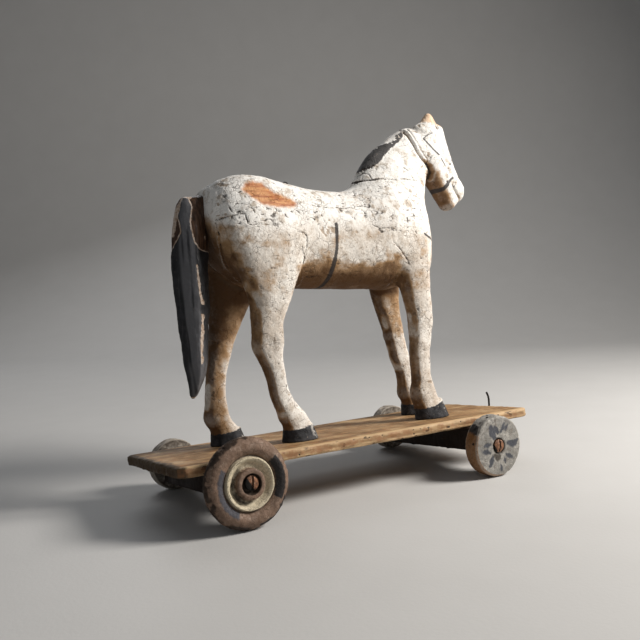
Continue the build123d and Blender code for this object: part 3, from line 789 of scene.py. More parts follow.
def head_shape(b):
    """The upper block: neck above the joint, head, ears and the carved lines of the face."""
    neck = slanted_loft(b, NECK, NECK_SQUARENESS, NECK_CREST)
    head = slanted_loft(b, HEAD, HEAD_SQUARENESS, HEAD_CREST)
    for side in (-1, 1):
        head = merge(head, ball(b, (125, side * 5.5, 258), (13, 9, 15), 25), 4)
        head = merge(head, ball(b, (135, side * 7.4, 275), (8, 5, 5), 30), 3)
        head = merge(head, ball(b, (163.5, side * 4, 222), (9, 6.5, 10), 25), 3)
        head = cut(head, rod(b, (138, side * 16.5, 262), (153, side * 13.8, 238), 2.5, 2.5), 4)
    head = merge(head, ball(b, (154.5, 0, 207.5), (8, 7, 5.5), 25), 3)
    whole = merge(neck, head, 2.2)
    whole = merge(whole, ball(b, (130, -6.6, 281), (12.5, 7, 10)), 4)
    whole = merge(whole, ball(b, (131.5, -7.4, 286), (7.6, 5.2, 12), -4), 4)
    whole = cut(whole, rod(b, (139.5, -12.5, 283), (135, -12.5, 292), 2.4, 1.2), 2)
    whole = merge(whole, ball(b, (131.5, 7.2, 281), (7.2, 5.4, 7.2)), 3)
    whole = merge(whole, ball(b, (119.5, -5.5, 281.5), (5.5, 6, 4.5)), 3)
    off_middle = ramp(np.abs(b.y), 2.0, 6.0)
    for path, width, depth, everywhere in GROOVES:
        gap = line_gap(b.x, b.z, path)
        whole = whole + depth * ramp(gap, width, 0.0) * (1 if everywhere else off_middle)
    return whole


CHEEK_LINE = [(99, 281), (103, 273), (104.5, 266), (108, 256), (114.5, 249), (121, 246), (127, 242.5),
              (129, 238), (128.5, 233)]
STRAP_LINE = [(106, 281), (109, 268), (113, 258), (117.5, 253.5), (123, 247)]
MOUTH_LINE = [(153.5, 226), (157, 220.5), (160.5, 215.5), (166, 208)]
# line, width, depth, and whether it also runs across the middle of the face
GROOVES = [(CHEEK_LINE, 3.2, 2.4, False), (STRAP_LINE, 1.7, 0.9, False), (MOUTH_LINE, 1.5, 2.2, True)]

# ---- painted and worn marks, drawn on the side view -------------------------------------------------
# painted lines: girth, eye, bridle and breast, each a path and the half width of its stroke
STROKES = [
    ([(-8, 182), (-9, 172), (-9.5, 163), (-11, 152)], 1.75),
    ([(-11, 152), (-12, 143), (-12.5, 136), (-13.5, 128)], 2.3),
    ([(119, 270), (123, 265), (128, 260), (136, 255)], 0.95),
    ([(119, 270), (124, 273.8), (130, 276.5)], 0.6),
    ([(139, 251.5), (142, 248), (145, 244.5)], 0.85),
    ([(122, 246.5), (127, 242.5), (129, 238), (128.5, 233)], 0.9),
    ([(134, 220.5), (138, 220.5), (142.5, 222), (147, 226.5)], 2.0),
    ([(147, 226.5), (152, 231.5), (156, 233.5)], 1.3),
    ([(92, 173), (99, 170.5), (108, 169)], 1.3),
]
BODY_CRACKS = [
    [(-118, 187), (-109, 188), (-98, 190.5), (-97.5, 186), (-97, 182), (-90, 181)],
    [(-109, 196), (-107.5, 192), (-100, 192.5)],
    [(-92, 184), (-84, 181.5), (-74, 180.5)], [(-80, 186), (-73, 184)], [(-104, 199), (-98, 198)],
    [(-49, 175), (-43, 174), (-41, 171), (-41, 164), (-43, 155), (-44, 149)], [(-47, 163), (-44, 157)],
    [(51, 165), (58, 161), (62, 157), (66, 151), (71, 144)],
    [(-30, 199), (-18, 198), (-3, 197), (12, 197), (22, 196), (26, 191)],
    [(31, 182), (39, 178), (48, 179), (52, 175.5)], [(29, 217), (26, 212), (24, 210)],
    [(54, 176.5), (60, 175.5)], [(66, 176), (70, 175.5)], [(-52, 204), (-47, 199)], [(-60, 207), (-56, 203)],
    [(-22, 190), (-20, 184)], [(-36, 139), (-23, 138)], [(76, 190), (84, 189)], [(66, 196), (72, 195)],
]
NECK_CRACKS = [[(36, 227), (48, 227.3), (62, 227.8), (76, 226.8)], [(80, 227.4), (103, 226.5)],
               [(47, 236), (51, 233), (52, 229)], [(88, 240), (92, 236)]]
OPEN_NECK_JOINT = [(37, 226.6), (46, 227.2), (57, 227.8)]
BARE_BACK = [(-96, 211), (-90, 217), (-83, 219), (-75, 218), (-72, 213), (-66, 209), (-50, 203.5), (-45, 200),
             (-50, 196.5), (-68, 196), (-81, 198), (-88, 203)]
MANE = [(42, 234), (48, 238), (53, 239), (59, 242), (66, 247), (73, 254), (81, 260), (89, 265), (96, 271),
        (101, 280), (112, 296), (70, 290), (30, 250), (36, 236)]
MANE_FLAKES = [(62, 258), (72, 263), (80, 264.5), (90, 270), (97, 276), (104, 292), (50, 280), (55, 258)]


def crack_gap(points, out, jitter):
    """Distance from points on the horse to the nearest crack: drawn ones, a mud-like net, seams and pits."""
    x, y, z = points.T
    wander = noise(points, 7.0, 5, 3)[:, None] * np.array((1.2, 0.0, 1.2))
    sx, sz = x + wander[:, 0], z + np.roll(wander[:, 2], 7)
    crack = np.full(len(points), 9.0)
    for path in BODY_CRACKS + NECK_CRACKS:
        crack = np.minimum(crack, line_gap(sx, sz, path) + np.where(np.abs(y) < 5, 3, 0))
    mud = cells(points * np.array((0.75, 1, 1.15)) + 2 * jitter[:, None], 10.0, 3)
    patchy = noise(points, 26, 21, 3) + 0.35 * ramp(z, 150, 205) - 0.15
    short = noise(points, 6.5, 23, 2)
    broken = mud + 1.3 * ramp(patchy, 0.35, -0.1) + 1.1 * ramp(short, 0.25, 0.0) + 0.5 * ramp(z, 178, 160)
    crack = np.minimum(crack, np.maximum(broken, 0) * 1.2 + 0.12)
    crack = np.where(z < 118, crack + 0.6, crack)
    thigh_seam = np.abs(np.abs(y) - thigh_plane(z)) - 0.1 + 0.5 * jitter + np.where((z > 132) & (z < 186), 0, 9)
    crack = np.minimum(crack, thigh_seam + np.where((x < -84) & (out[:, 0] < -0.2), 0, 9))
    pit_noise = noise(points * np.array((0.55, 1, 1.3)), 2.1, 47, 2)
    pits = 0.9 * ramp(pit_noise, 0.60, 0.74) * ramp(z, 166, 182) * ramp(z, 240, 222)
    pits *= ramp(noise(points, 20, 48, 2), -0.3, 0.2)
    pits = np.maximum(pits, 0.8 * ramp(pit_noise, 0.70, 0.82) * ramp(z, 172, 150) * ramp(z, 16, 26))
    crack = np.minimum(crack, line_gap(sx, sz, OPEN_NECK_JOINT) - 0.5)
    crack = np.minimum(crack, 1.2 - 1.1 * pits)
    return crack


def soil_and_shade_amount(points, out):
    """How much brown the horse takes: mostly painted shade under, behind and between its parts and under its jaw,
    some soiling, less on top.
    """
    x, y, z = points.T
    # painted shade: darker on faces that look down, inwards and back, low at the rear, under the jaw, on the belly
    # and below the flank
    downward = ramp(-out[:, 2], 0.15, 0.9)
    inward = ramp(-out[:, 1] * np.sign(y), 0.25, 0.9) * ramp(z, 205, 160)
    inward *= (0.30 + 0.70 * ramp(z, 62, 128)) * (1 - 0.30 * ramp(x, 40, 60))
    rearward = ramp(-out[:, 0], 0.35, 0.95)
    low_rear = ramp(-out[:, 0], 0.30, 0.75) * ramp(z, 180, 105) * ramp(noise(points, 14, 35, 2), -0.9, -0.1)
    jaw = ramp(x - 0.55 * (240 - z), 142, 130) * ramp(x, 119, 127) * ramp(z, 250, 236) * ramp(z, 190, 200)
    belly = ramp(z, 146, 136) * ramp(z, 118, 124)
    flank = ramp(noise(points, np.array((22.0, 22.0, 12.0)), 33, 3), 0.0, 0.5)
    flank *= ramp(z, 176, 164) * ramp(z, 138, 146)
    soil_and_shade = 0.55 * downward + 0.75 * inward + 0.95 * low_rear + 0.95 * jaw + 0.35 * belly + 0.34 * flank
    soil_and_shade += 0.20 * noise(points, 16, 31, 3) + 0.25 * ramp(z, 30, 14) * rearward - 0.06
    soil_and_shade += 0.55 * ramp(x, -88, -118) * ramp(z, 200, 175) * ramp(z, 60, 100)       # painted shade towards the tail
    soil_and_shade += 0.22 * ramp(y, 4, 16) * ramp(z, 175, 150) * ramp(z, 40, 100)           # painted shade on the far, left legs
    soil_and_shade -= 0.35 * ramp(z, 178, 205) * ramp(out[:, 2], -0.1, 0.5)                  # painted light: lighter on top
    # painted shade between the thighs and in the waist
    between = ramp(np.abs(y), 26, 8) * ramp(x, -96, -112) * ramp(z, 205, 180)
    soil_and_shade += 0.9 * between
    waist = ramp(x, -50, -36) * ramp(x, 68, 56)
    soil_and_shade += waist * (0.20 * ramp(z, 184, 168) + 0.18 * ramp(z, 152, 143))
    return soil_and_shade


def horse_features(points, out, quads, legs_here=()):
    """One number per point for each of the paint's features, and how deep the wear has cut there."""
    x, y, z = points.T
    hollow = hollow_measure(points, out, quads)
    # no painted highlight on a joint's edges: the hollow measure stays above zero there
    joint = np.min([np.abs(leg_joint(x, y, z, name)) for name in LEGS], axis=0)
    hollow = np.where(joint < 1.8, np.maximum(hollow, 0.05), hollow)
    jitter = noise(points, 2.4, 9, 2)
    crack = crack_gap(points, out, jitter)
    stroke = np.full(len(points), 9.0)
    for path, half_width in STROKES:
        stroke = np.minimum(stroke, line_gap(x, z, path) - half_width)
    bare = np.where(y < 4, area_gap(x, z, BARE_BACK), 9.0)
    ear = 2.5 - (z - 284.5) - 0.12 * (x - 130)
    bare = np.minimum(bare, ear) if z.max() > 280 else bare
    black = np.maximum(area_gap(x, z, MANE), -(area_gap(x, z, MANE_FLAKES) + 2.2 * jitter))
    for name in legs_here:
        back, front, toe = HOOVES[name][0], HOOVES[name][1], HOOVES[name][6]
        black = np.minimum(black, z - coronet_height(x, back, front, toe) + 0.2)
    soil_and_shade = soil_and_shade_amount(points, out)
    chip_noise = noise(points, 5.5, 41, 3) + 0.25 * ramp(hollow, 0.0, -0.4)
    chip = ramp(chip_noise, 0.66, 0.80) * ramp(noise(points, 30, 43, 2), 0.1, 0.6)
    # hooves lighter on their front and right faces: partly worn paint, partly painted highlight on the lit side
    rubbed_and_lit = ramp(out[:, 0] - 0.5 * out[:, 1], 0.60, 1.0) * ramp(z, 22, 14)
    wear = 0.35 * ramp(chip, 0.3, 0.7) + 0.5 * ramp(bare + 1.5 * jitter, 0.6, -0.6)
    crack = np.where(bare < 1.0, crack + 1.2, crack)
    mane_here = ramp(area_gap(x, z, MANE) + 1.2 * jitter, 0.6, -0.6) * (z > 230)
    wear += 0.55 * ramp(crack, 0.7, 0.1) - 0.5 * mane_here
    return {"hollow": hollow, "crack": crack, "stroke": stroke, "bare": bare, "black": black,
            "soil_and_shade": soil_and_shade, "chip": chip, "rubbed_and_lit": rubbed_and_lit}, wear


HORSE_SEED = 100           # one seed, so that the surface runs on across the joints


def weather(points, out, wear, seed, lump=0.45):
    """Carved and worn surface: broad tool marks, fine lumps, and what wear has taken off."""
    depth = wear + lump * noise(points, 15, seed, 2) + 0.16 * noise(points, 4.2, seed + 1, 2)
    depth += 0.07 * noise(points, 1.7, seed + 2, 1)
    return sunk(points, out, depth)


def horse_piece(name, field, block, legs_here=()):
    points, out, quads = carve(field, block)
    features, wear = horse_features(points, out, quads, legs_here)
    sole = np.clip(points[:, 2] / 3, 0, 1)
    points = weather(points, out, wear * sole, HORSE_SEED)
    points[:, 2] = np.maximum(points[:, 2], 0.02) if legs_here else points[:, 2]
    make_piece(f"carved_{name}", deck_to_frame(points), quads, HORSE, horse_paint, [name],
               features)


def build_horse():
    body_block = Block((-126, -50, 116), (126, 50, 234), 1.03)
    body = horse_field(body_block, LEGS)
    for name in LEGS:
        body = np.maximum(body, -leg_joint(body_block.x, body_block.y, body_block.z, name))
    body = np.maximum(body, body_block.z - NECK_JOINT + 0.7 * ramp(body_block.x, 52, 40))
    horse_piece("horse_body", body, body_block)

    for name in LEGS:
        side = -1 if name.startswith("right") else 1
        low_x = -124 if "hind" in name else 46
        high_x = -32 if "hind" in name else 134
        low_y, high_y = sorted((side * 1.0, side * 49.0))
        block = Block((low_x, low_y, -2), (high_x, high_y, 196), 0.85)
        joint = leg_joint(block.x, block.y, block.z, name)
        leg = horse_field(block, [name]) + SEAM_DEPTH * ramp(joint, -0.5, 0.4)
        leg = np.maximum(leg, joint - SEAM_OVERLAP)
        leg = np.maximum(leg, -block.z)
        horse_piece(name, leg, block, [name])

    head_block = Block((28, -27, 198), (182, 27, 304), 0.78)
    over_joint = head_block.z - NECK_JOINT
    gap_depth = 0.08 + 0.45 * ramp(head_block.x, 68, 48)
    head = head_shape(head_block) + gap_depth * ramp(over_joint, 0.5, -0.4) * (head_block.x < THROAT_X)
    head = np.maximum(head, np.minimum(-over_joint - SEAM_OVERLAP, THROAT_X - head_block.x))
    horse_piece("head_and_neck", head, head_block)


# ---- tail ------------------------------------------------------------------------------------------
# The tail's paint is drawn as it looks from behind on the right: distance along that view, height.
TAIL_VIEW = (0.846, -0.533)
TAIL_BLACK = [
    (-112, 210), (-115, 200.5), (-117, 194.5), (-115, 186), (-114.5, 180), (-118.5, 174), (-123, 168),
    (-126.5, 165), (-127.5, 130), (-126, 95), (-124, 70), (-122, 48), (-121, 38), (-60, 38), (-60, 163),
    (-98, 163.5), (-101, 165), (-104.5, 170), (-106, 177), (-107.5, 187.5), (-106, 196), (-105.5, 201),
    (-108, 208),
]
TAIL_STREAKS = [[(-104, 152), (-103.6, 140), (-102.3, 121)],
                [(-103.2, 112), (-104.5, 100), (-105.8, 92), (-107, 73)]]

TAIL_CREAM = [(-123.5, 180), (-121.5, 190), (-118, 199), (-112.5, 206.5), (-108, 210)]


def build_tail():
    block = Block((-153, -20, 40), (-109, 20, 216), 0.8)
    field = upright_loft(block, TAIL)
    field = merge(field, rod(block, (-131, 0, 202), (-116, 0, 206), 8, 7), 5)
    points, out, quads = carve(field, block)
    x, y, z = points.T
    along = x * TAIL_VIEW[0] + y * TAIL_VIEW[1]
    shown = out[:, 1] < 0.25
    black = area_gap(along, z, TAIL_BLACK)
    streaks = np.min([line_gap(along, z, path) for path in TAIL_STREAKS], axis=0) - 0.9
    black = np.where(shown, np.maximum(black, -streaks), black)
    black = np.where(z < 50, np.maximum(black, 49 - z - 3 * shown), black)
    cream = line_gap(along, z, TAIL_CREAM) - 2.8
    wear = 0.55 * ramp(black + 1.2 * noise(points, 3.4, 61, 2), -0.4, 0.6)
    # the band of the tail's right plane that takes painted highlight, broken into vertical streaks
    rubbed_and_lit = shown * ramp(along, -120.5, -115.0) * ramp(along, -102.5, -106.5)
    rubbed_and_lit = rubbed_and_lit * ramp(noise(points, np.array((4.0, 4.0, 60.0)), 62, 2), -0.9, 0.2)
    features = {"black": black, "cream": cream, "rubbed_and_lit": rubbed_and_lit, "hollow": hollow_measure(points, out, quads)}
    points = weather(points, out, wear, 140, lump=0.6)
    make_piece("carved_tail", deck_to_frame(points), quads, HORSE, tail_black, ["tail"], features)


# ---- board -----------------------------------------------------------------------------------------
BOARD_LENGTH, BOARD_WIDTH, BOARD_THICKNESS = 362.0, 119.0, 9.0
# how much of the end and of the side each corner has lost: rear left, rear right, front right, front left
CORNER_WEAR = {(-1, 1): (3, 4), (-1, -1): (6, 5), (1, -1): (4, 4), (1, 1): (6, 5)}
WORM_HOLES = [
    (-25, -59, -1.5), (4.5, -59, -2), (38.5, -59, -6), (-78, -59, -6), (-9, -59, -2), (93, -59, -2.5),
    (-120, -40, 0), (-60, 30, 0), (30, -20, 0), (150, 20, 0), (120, 50, 0), (-181, 20, -4), (-181, -18, -6),
    (-20, 59, -4), (70, 59, -5), (-100, 10, -9), (40, 30, -9),
]
# middle and radii of the hollow that each chip leaves
CHIPS = [
    ((-181, -62, -10), (9, 6, 8)), ((-168, -62, 2), (17, 5.5, 4.6)), ((-182, 12, 1), (3.5, 16, 3)),
    ((-182, -25, 0.8), (3, 9, 2.6)), ((-120, -60, 0.8), (13, 2.2, 2.2)), ((-70, -60.3, 0.4), (22, 2, 2)),
    ((10, -60.4, 0.6), (30, 1.7, 1.8)), ((80, -60.2, 0.5), (18, 2.2, 2.4)),
    ((160, -60.5, 0.8), (16, 2.4, 2.6)), ((181, 10, 1), (2.6, 20, 2.5)), ((-20, -60, -9), (34, 2.2, 2)),
    ((60, -60, -9.4), (25, 2.4, 2.4)), ((30, 60, 0.6), (40, 1.8, 2)), ((-90, 60, 0.4), (26, 2, 2)),
    ((182, -20, -9), (3, 18, 2.5)), ((-182, 40, -9), (3, 14, 3)),
]
# drying splits in the board's top, from where to where
SPLITS = [
    ((-181, -30), (-120, -28)), ((-181, 22), (-90, 19)), ((181, 5), (120, 7)), ((181, -36), (140, -33)),
    ((-40, 40), (60, 43)),
]


def board_outline():
    ends = []
    for end, side in ((-1, -1), (1, -1), (1, 1), (-1, 1)):
        along, over = CORNER_WEAR[end, side]
        at_side = (end * (BOARD_LENGTH / 2 - along), side * BOARD_WIDTH / 2)
        at_end = (end * BOARD_LENGTH / 2, side * (BOARD_WIDTH / 2 - over))
        ends += [at_side, at_end] if end * side < 0 else [at_end, at_side]
    return ends


def slab(plan_gap, level_gap, rounding):
    """Flat piece with rounded edges, from its distance in plan and its distance over and under."""
    a, b = plan_gap + rounding, level_gap + rounding
    outside = np.hypot(np.maximum(a, 0), np.maximum(b, 0))
    return outside + np.minimum(np.maximum(a, b), 0) - rounding


def build_board():
    block = Block((-184, -62.5, -12), (184, 62.5, 3), 1.12)
    plan = area_gap(block.x, block.y, board_outline())
    level = np.abs(block.z + BOARD_THICKNESS / 2) - BOARD_THICKNESS / 2
    field = slab(plan + 0.3, level + 0.05, 1.9)
    for centre, radii in CHIPS:
        field = cut(field, ball(block, centre, radii), 1.2)
    points, out, quads = carve(field, block)
    x, y, z = points.T
    edge = -area_gap(x, y, board_outline())
    crack = np.full(len(points), 9.0)
    for place in WORM_HOLES:
        crack = np.minimum(crack, np.linalg.norm(points - place, axis=1) - 0.55)
    for ends in SPLITS:
        run = line_gap(x, y + 0.8 * noise(points, 14, 66, 2), ends)
        crack = np.minimum(crack, run + np.where(z > -6, 0.15, 3) + 0.25 * noise(points, 9, 67, 2))
    grain = noise(points, np.array((60.0, 1.9, 4.0)), 71, 3)
    broad = noise(points, np.array((120.0, 9.0, 9.0)), 72, 2)
    rough_edge = ramp(edge, 5, 0.5)
    wear = 0.22 * grain + 0.15 * broad + 0.7 * ramp(crack, 0.8, 0.0)
    wear += rough_edge * (0.55 + 0.55 * noise(points, np.array((14.0, 5.0, 3.0)), 73, 3))
    spots = noise(points, np.array((6.0, 6.0, 3.0)), 74, 3)
    rear_end = ramp(x, -168, -179)
    soil_and_shade = 0.75 * rear_end + 0.28 * rough_edge * ramp(noise(points, 18, 75, 3), -0.3, 0.5)
    # dark spots along the rough edges; painted shade on faces that look down
    soil_and_shade += 0.85 * ramp(spots, 0.45, 0.7) * rough_edge + 0.55 * ramp(-out[:, 2], 0.4, 0.9)
    soil_and_shade += 0.30 * ramp(np.abs(out[:, 0]), 0.4, 0.9) - 0.25 * ramp(x, -186, -120) * (1 - rear_end) - 0.05
    red = ramp(np.abs(out[:, 1]), 0.5, 0.9) * (0.42 + 0.5 * noise(points, 9, 76, 3)) + 0.15 * rough_edge
    features = {"hollow": hollow_measure(points, out, quads), "crack": crack, "soil_and_shade": soil_and_shade, "red": red}
    points = sunk(points, out, np.maximum(wear, -0.05) + 0.05)
    make_piece("pine_board", deck_to_frame(points), quads, HORSE, board_wood, ["platform_board"],
               features)


# ---- wheels and their screws -----------------------------------------------------------------------
BIG_RADIUS, DISC_RADIUS, SMALL_RADIUS = 35.0, 27.5, 22.5
BIG_WIDTH, SMALL_WIDTH = 16.0, 13.0
BORE = 2.85
HEAD_RADIUS, HEAD_HEIGHT, SHANK_RADIUS, SCREW_EMBED = 5.8, 3.6, 2.8, 30.0


# corner, radius, width, slot, paint; then the screw's seat, its head's place off the middle, and how far the
# painted shadow of its hole reaches
WHEELS = [
    ("rear_right", BIG_RADIUS, BIG_WIDTH, "turned_wheel", turned_paint, 5.3, (0.9, 0.7), -0.6),
    ("front_right", DISC_RADIUS, BIG_WIDTH, "disc_wheel", disc_paint, 5.7, (0.2, 0.2), -5.0),
    ("rear_left", SMALL_RADIUS, SMALL_WIDTH, "small_wheel", small_paint, 4.2, (-0.2, 0.1), -4.0),
    ("front_left", SMALL_RADIUS, SMALL_WIDTH, "small_wheel", small_paint, 4.2, (0.1, -0.2), -4.5),
]


class Wheel:
    """Where a wheel stands: local u is along its face, v is up its face and s runs outward on its axis."""

    def __init__(self, corner):
        joint = next(j for j in frame["joints"] if j["name"] == corner + "_spin")
        self.corner, self.body = corner, joint["child"]
        self.centre = np.array(joint["pos_m"], float)
        to_left = np.array(joint["axis"], float)
        facing = 1 if "left" in corner else -1
        outward = facing * to_left / np.linalg.norm(to_left)
        ahead = -facing * deck_forward
        self.axes = np.array((ahead, np.cross(outward, ahead), outward))

    def to_frame(self, points):
        return self.centre + MM * np.asarray(points) @ self.axes

    def deck_place(self):
        """The wheel's centre in toy millimetres."""
        return (self.centre - deck_origin) @ deck_axes.T / MM


def arc(centre, radius, start, end, steps=14):
    """Points of a round stretch of a profile, angles in degrees from the radius axis towards outward."""
    return [(centre[0] + radius * cos(a), centre[1] + radius * sin(a))
            for a in np.radians(np.linspace(start, end, steps))]


def turned(profile, spacing, softening):
    """A closed profile of (radius, outward) turned about the axis: points, outward directions, quads."""
    loop = np.array(profile + profile[:1], float)
    lengths = np.r_[0, np.cumsum(np.linalg.norm(np.diff(loop, axis=0), axis=1))]
    count = int(lengths[-1] / spacing)
    at = np.linspace(0, lengths[-1], count, endpoint=False)
    path = np.stack([np.interp(at, lengths, loop[:, i]) for i in (0, 1)], axis=1)
    for _ in range(softening):
        path = (np.roll(path, 1, 0) + 2 * path + np.roll(path, -1, 0)) / 4
    tangent = np.roll(path, -1, 0) - np.roll(path, 1, 0)
    area = np.sum(path[:, 0] * np.roll(path[:, 1], -1) - np.roll(path[:, 0], -1) * path[:, 1])
    side = np.stack([tangent[:, 1], -tangent[:, 0]], axis=1) * np.sign(area)
    side /= np.linalg.norm(side, axis=1)[:, None]
    sides = int(2 * pi * path[:, 0].max() / (spacing * 1.15))
    turn = np.linspace(0, 2 * pi, sides, endpoint=False)[:, None]
    points = np.stack([path[:, 0] * np.cos(turn), path[:, 0] * np.sin(turn), path[:, 1] + 0 * turn], -1)
    out = np.stack([side[:, 0] * np.cos(turn), side[:, 0] * np.sin(turn), side[:, 1] + 0 * turn], -1)
    i, j = np.meshgrid(np.arange(sides), np.arange(count), indexing="ij")
    ni, nj = (i + 1) % sides, (j + 1) % count
    quads = np.stack([i * count + j, ni * count + j, ni * count + nj, i * count + nj], -1).reshape(-1, 4)
    if area < 0:
        quads = quads[:, ::-1]
    return points.reshape(-1, 3), out.reshape(-1, 3), quads


def disc_profile(radius, width, mouth=6.6, mouth_depth=2.6, edge=2.0):
    half = width / 2
    rim = radius - edge
    return ([(BORE, -half), (rim, -half)] + arc((rim, -half + edge), edge, -80, 0, 6)
            + arc((rim, half - edge), edge, 0, 90, 7)
            + [(mouth, half), (mouth, half - mouth_depth), (BORE, half - mouth_depth)])


def big_profile():
    rim = BIG_WIDTH / 2
    middle = BIG_RADIUS - rim
    return ([(BORE, -rim)] + arc((middle, 0), rim, -90, 100, 40)
            + [(22.6, 6.3), (21.2, 5.2), (20.6, 4.6), (20.3, 6.6), (19.9, 7.6), (19.0, 7.9), (17.4, 6.9),
               (16.0, 5.5), (15.2, 4.2), (13.2, 3.5), (12.3, 3.9), (12.0, 8.4), (11.2, 9.5), (10.4, 9.6),
               (7.9, 9.6), (7.4, 9.1), (7.4, 5.0), (BORE, 5.0)])


def sector(points, start, end):
    """Millimetres outside a sector of the wheel's face, angles in degrees from u towards v."""
    angle = np.degrees(np.arctan2(points[:, 1], points[:, 0]))
    middle, half = (start + end) / 2, (end - start) / 2
    away = np.abs((angle - middle + 180) % 360 - 180) - half
    return np.radians(away) * np.hypot(points[:, 0], points[:, 1])


def band(radius, inner, outer):
    return np.abs(radius - (inner + outer) / 2) - (outer - inner) / 2


# angle, inner radius, outer radius, half width at its widest, lean of the stroke in degrees
PETALS = [(121, 9.5, 20, 3.6, -4), (93, 12.5, 18, 2.4, 10), (76, 13, 20.5, 1.7, -8), (57, 16, 21, 1.5, 0),
          (8, 11.5, 20, 2.6, -10), (-6, 17, 23, 2.4, 12), (-44, 12.5, 19.5, 1.8, 6), (-60, 13, 17, 1.3, -6),
          (-85, 17.5, 22, 1.5, 0), (-133, 12, 19, 2.4, 8), (-122, 17, 21, 1.5, -6), (-158, 12, 19.5, 1.9, -14),
          (164, 11, 17, 1.9, 8), (-172, 14, 19, 1.4, 0)]


# worm holes in the front right wheel's tread: angle from the top in radians, place across the tread
TREAD_HOLES = [(0.10, 4.5), (0.22, 3.0), (-0.25, 1), (-0.1, -3), (0.5, -2), (1.8, 2), (3.6, 0), (4.9, 3)]


def petal_gap(points):
    """Distance to the brush strokes that radiate on the front right wheel, below zero inside."""
    best = np.full(len(points), 9.0)
    for angle, inner, outer, half_width, lean in PETALS:
        a, b = radians(angle), radians(angle + lean)
        start = (inner * cos(a), inner * sin(a))
        end = (outer * cos(b), outer * sin(b))
        run = np.array(end) - start
        from_start = points[:, :2] - start
        t = np.clip((from_start[:, 0] * run[0] + from_start[:, 1] * run[1]) / (run @ run), 0, 1)
        gap = np.hypot(points[:, 0] - start[0] - t * run[0], points[:, 1] - start[1] - t * run[1])
        best = np.minimum(best, gap - 1.2 * half_width * (0.45 + 0.55 * np.sin(pi * np.clip(t, 0.08, 0.92))))
    return best


def build_wheel(corner, profile, radius, width, material, seed):
    """One wheel, worn and dented, with the paint marks that its face carries."""
    wheel = Wheel(corner)
    points, out, quads = turned(profile, 0.72 * grid_scale, 2)
    u, v, s = points.T
    r = np.hypot(u, v)
    blank = np.full(len(points), 9.0)
    features = {key: blank for key in ("cream", "coal", "slate", "grease", "rust_and_shade", "crack")}
    hollow = hollow_measure(points, out, quads, 8) * ramp(r, 19.5, 22)
    tread = ramp(r, radius - 3.5, radius - 0.5)
    face = s > width * 0.2
    # tread soiling, and painted shade on the inner face, towards the board
    soil_and_shade = 0.25 * tread + 0.5 * ramp(-out[:, 2], 0.3, 0.9) + 0.15 * noise(points, 9, seed, 3)
    if corner == "rear_right":
        features["cream"] = np.where(face, band(r, 12.6, 20.7), 9)
        right_arc = np.maximum(band(r, 21.6, 29.3), sector(points, -32, 40))
        spots = np.maximum(band(r, 30.5, 36), sector(points, -82, -24)) + 1.5 + 2.2 * noise(points, 5, 81, 2)
        features["coal"] = np.where(face | (r > 30), np.minimum(right_arc, spots), 9)
        features["slate"] = np.where(face, np.maximum(band(r, 21.4, 27.0), sector(points, 148, 243)), 9)
        thin = np.abs(r - 20.9) + 0.25 + 0.5 * ramp(noise(points, 9, 84, 2), 0.0, 0.6)
        flaked = band(r, 17.2, 19.6) + 1.1 + 2.6 * ramp(noise(points, 5.5, 82, 2), 0.55, 0.1)
        features["crack"] = np.where(face, np.minimum(thin, flaked), 9)
        # painted shade in the recess round the hub, deepest on the left where the hub shades it
        recess = np.where(face, ramp(np.abs(r - 13.6), 2.6, 0.6), 0)
        shaded = ramp(sector(points, 120, 290), 6, -4)
        soil_and_shade = soil_and_shade + recess * (0.05 + 0.65 * shaded) + 0.4 * tread * ramp(noise(points, 6, 83, 2), 0.1, 0.7)
        left_tread = ramp(sector(points, 95, 265), 8, -6) * ramp(r, 30, 32.5)
        hub_top = np.where(face, ramp(np.abs(r - 9.6), 2.4, 1.2), 0)
        # dark patches on the left of the tread, painted shade inside the hole, and a darker ring on the hub
        soil_and_shade += left_tread * (0.45 + 0.9 * noise(points, 5, 86, 3)) + 0.8 * (r < 8) + 0.15 * hub_top
    if corner == "front_right":
        smudge = 0.7 + 3.0 * ramp(noise(points, 5, 93, 3), 0.15, -0.35)
        features["slate"] = np.where(face & (r < radius - 1.5), np.minimum(petal_gap(points), smudge), 9)
        # brown on the lower rear of the tread: partly brown wear, partly painted shade
        low_tread = sector(points, 150, 285) + 2.5 * noise(points, 6, 94, 2)
        features["rust_and_shade"] = np.where(r > radius - 2.2, low_tread, 9)
        blot = np.hypot(u + 2.5, v + 8.5) - 4.2 + 1.6 * noise(points, 4, 91, 2)
        features["grease"] = np.where(face, np.minimum(blot, r - 7.6), 9)
        patch = np.maximum(sector(points, 128, 172), np.abs(s + 1) - 6.5)
        features["coal"] = np.where(r > radius - 1.5, patch + 2 + 2.4 * noise(points, 6, 92, 2), 9)
        for angle, across in TREAD_HOLES:
            place = (sin(angle) * radius, cos(angle) * radius, across)
            features["crack"] = np.minimum(features["crack"], np.linalg.norm(points - place, axis=1) - 1.0)
    if "left" in corner:
        features["grease"] = np.where(face, r - 8.5 + 1.5 * noise(points, 5, seed + 1, 2), 9)
    features["soil_and_shade"], features["hollow"] = soil_and_shade, hollow
    outside = ramp(r, BORE + 0.8, BORE + 2.0)
    wear = 0.32 + 0.30 * noise(points, 8, seed + 2, 3) + 0.12 * noise(points, 2.2, seed + 3, 2)
    wear += 0.5 * ramp(noise(points, 5, seed + 4, 2), 0.45, 0.8) * ramp(r, radius - 6, radius - 1)
    wear += 0.6 * ramp(features["crack"], 0.6, 0.0) + 0.25 * ramp(np.abs(features["cream"]), 0.8, 0.1)
    points = sunk(points, out, np.maximum(wear, 0) * outside)
    make_piece(f"worn_{corner}_wheel", wheel.to_frame(points), quads, wheel.body, material,
               [f"{corner}_wheel"], features)


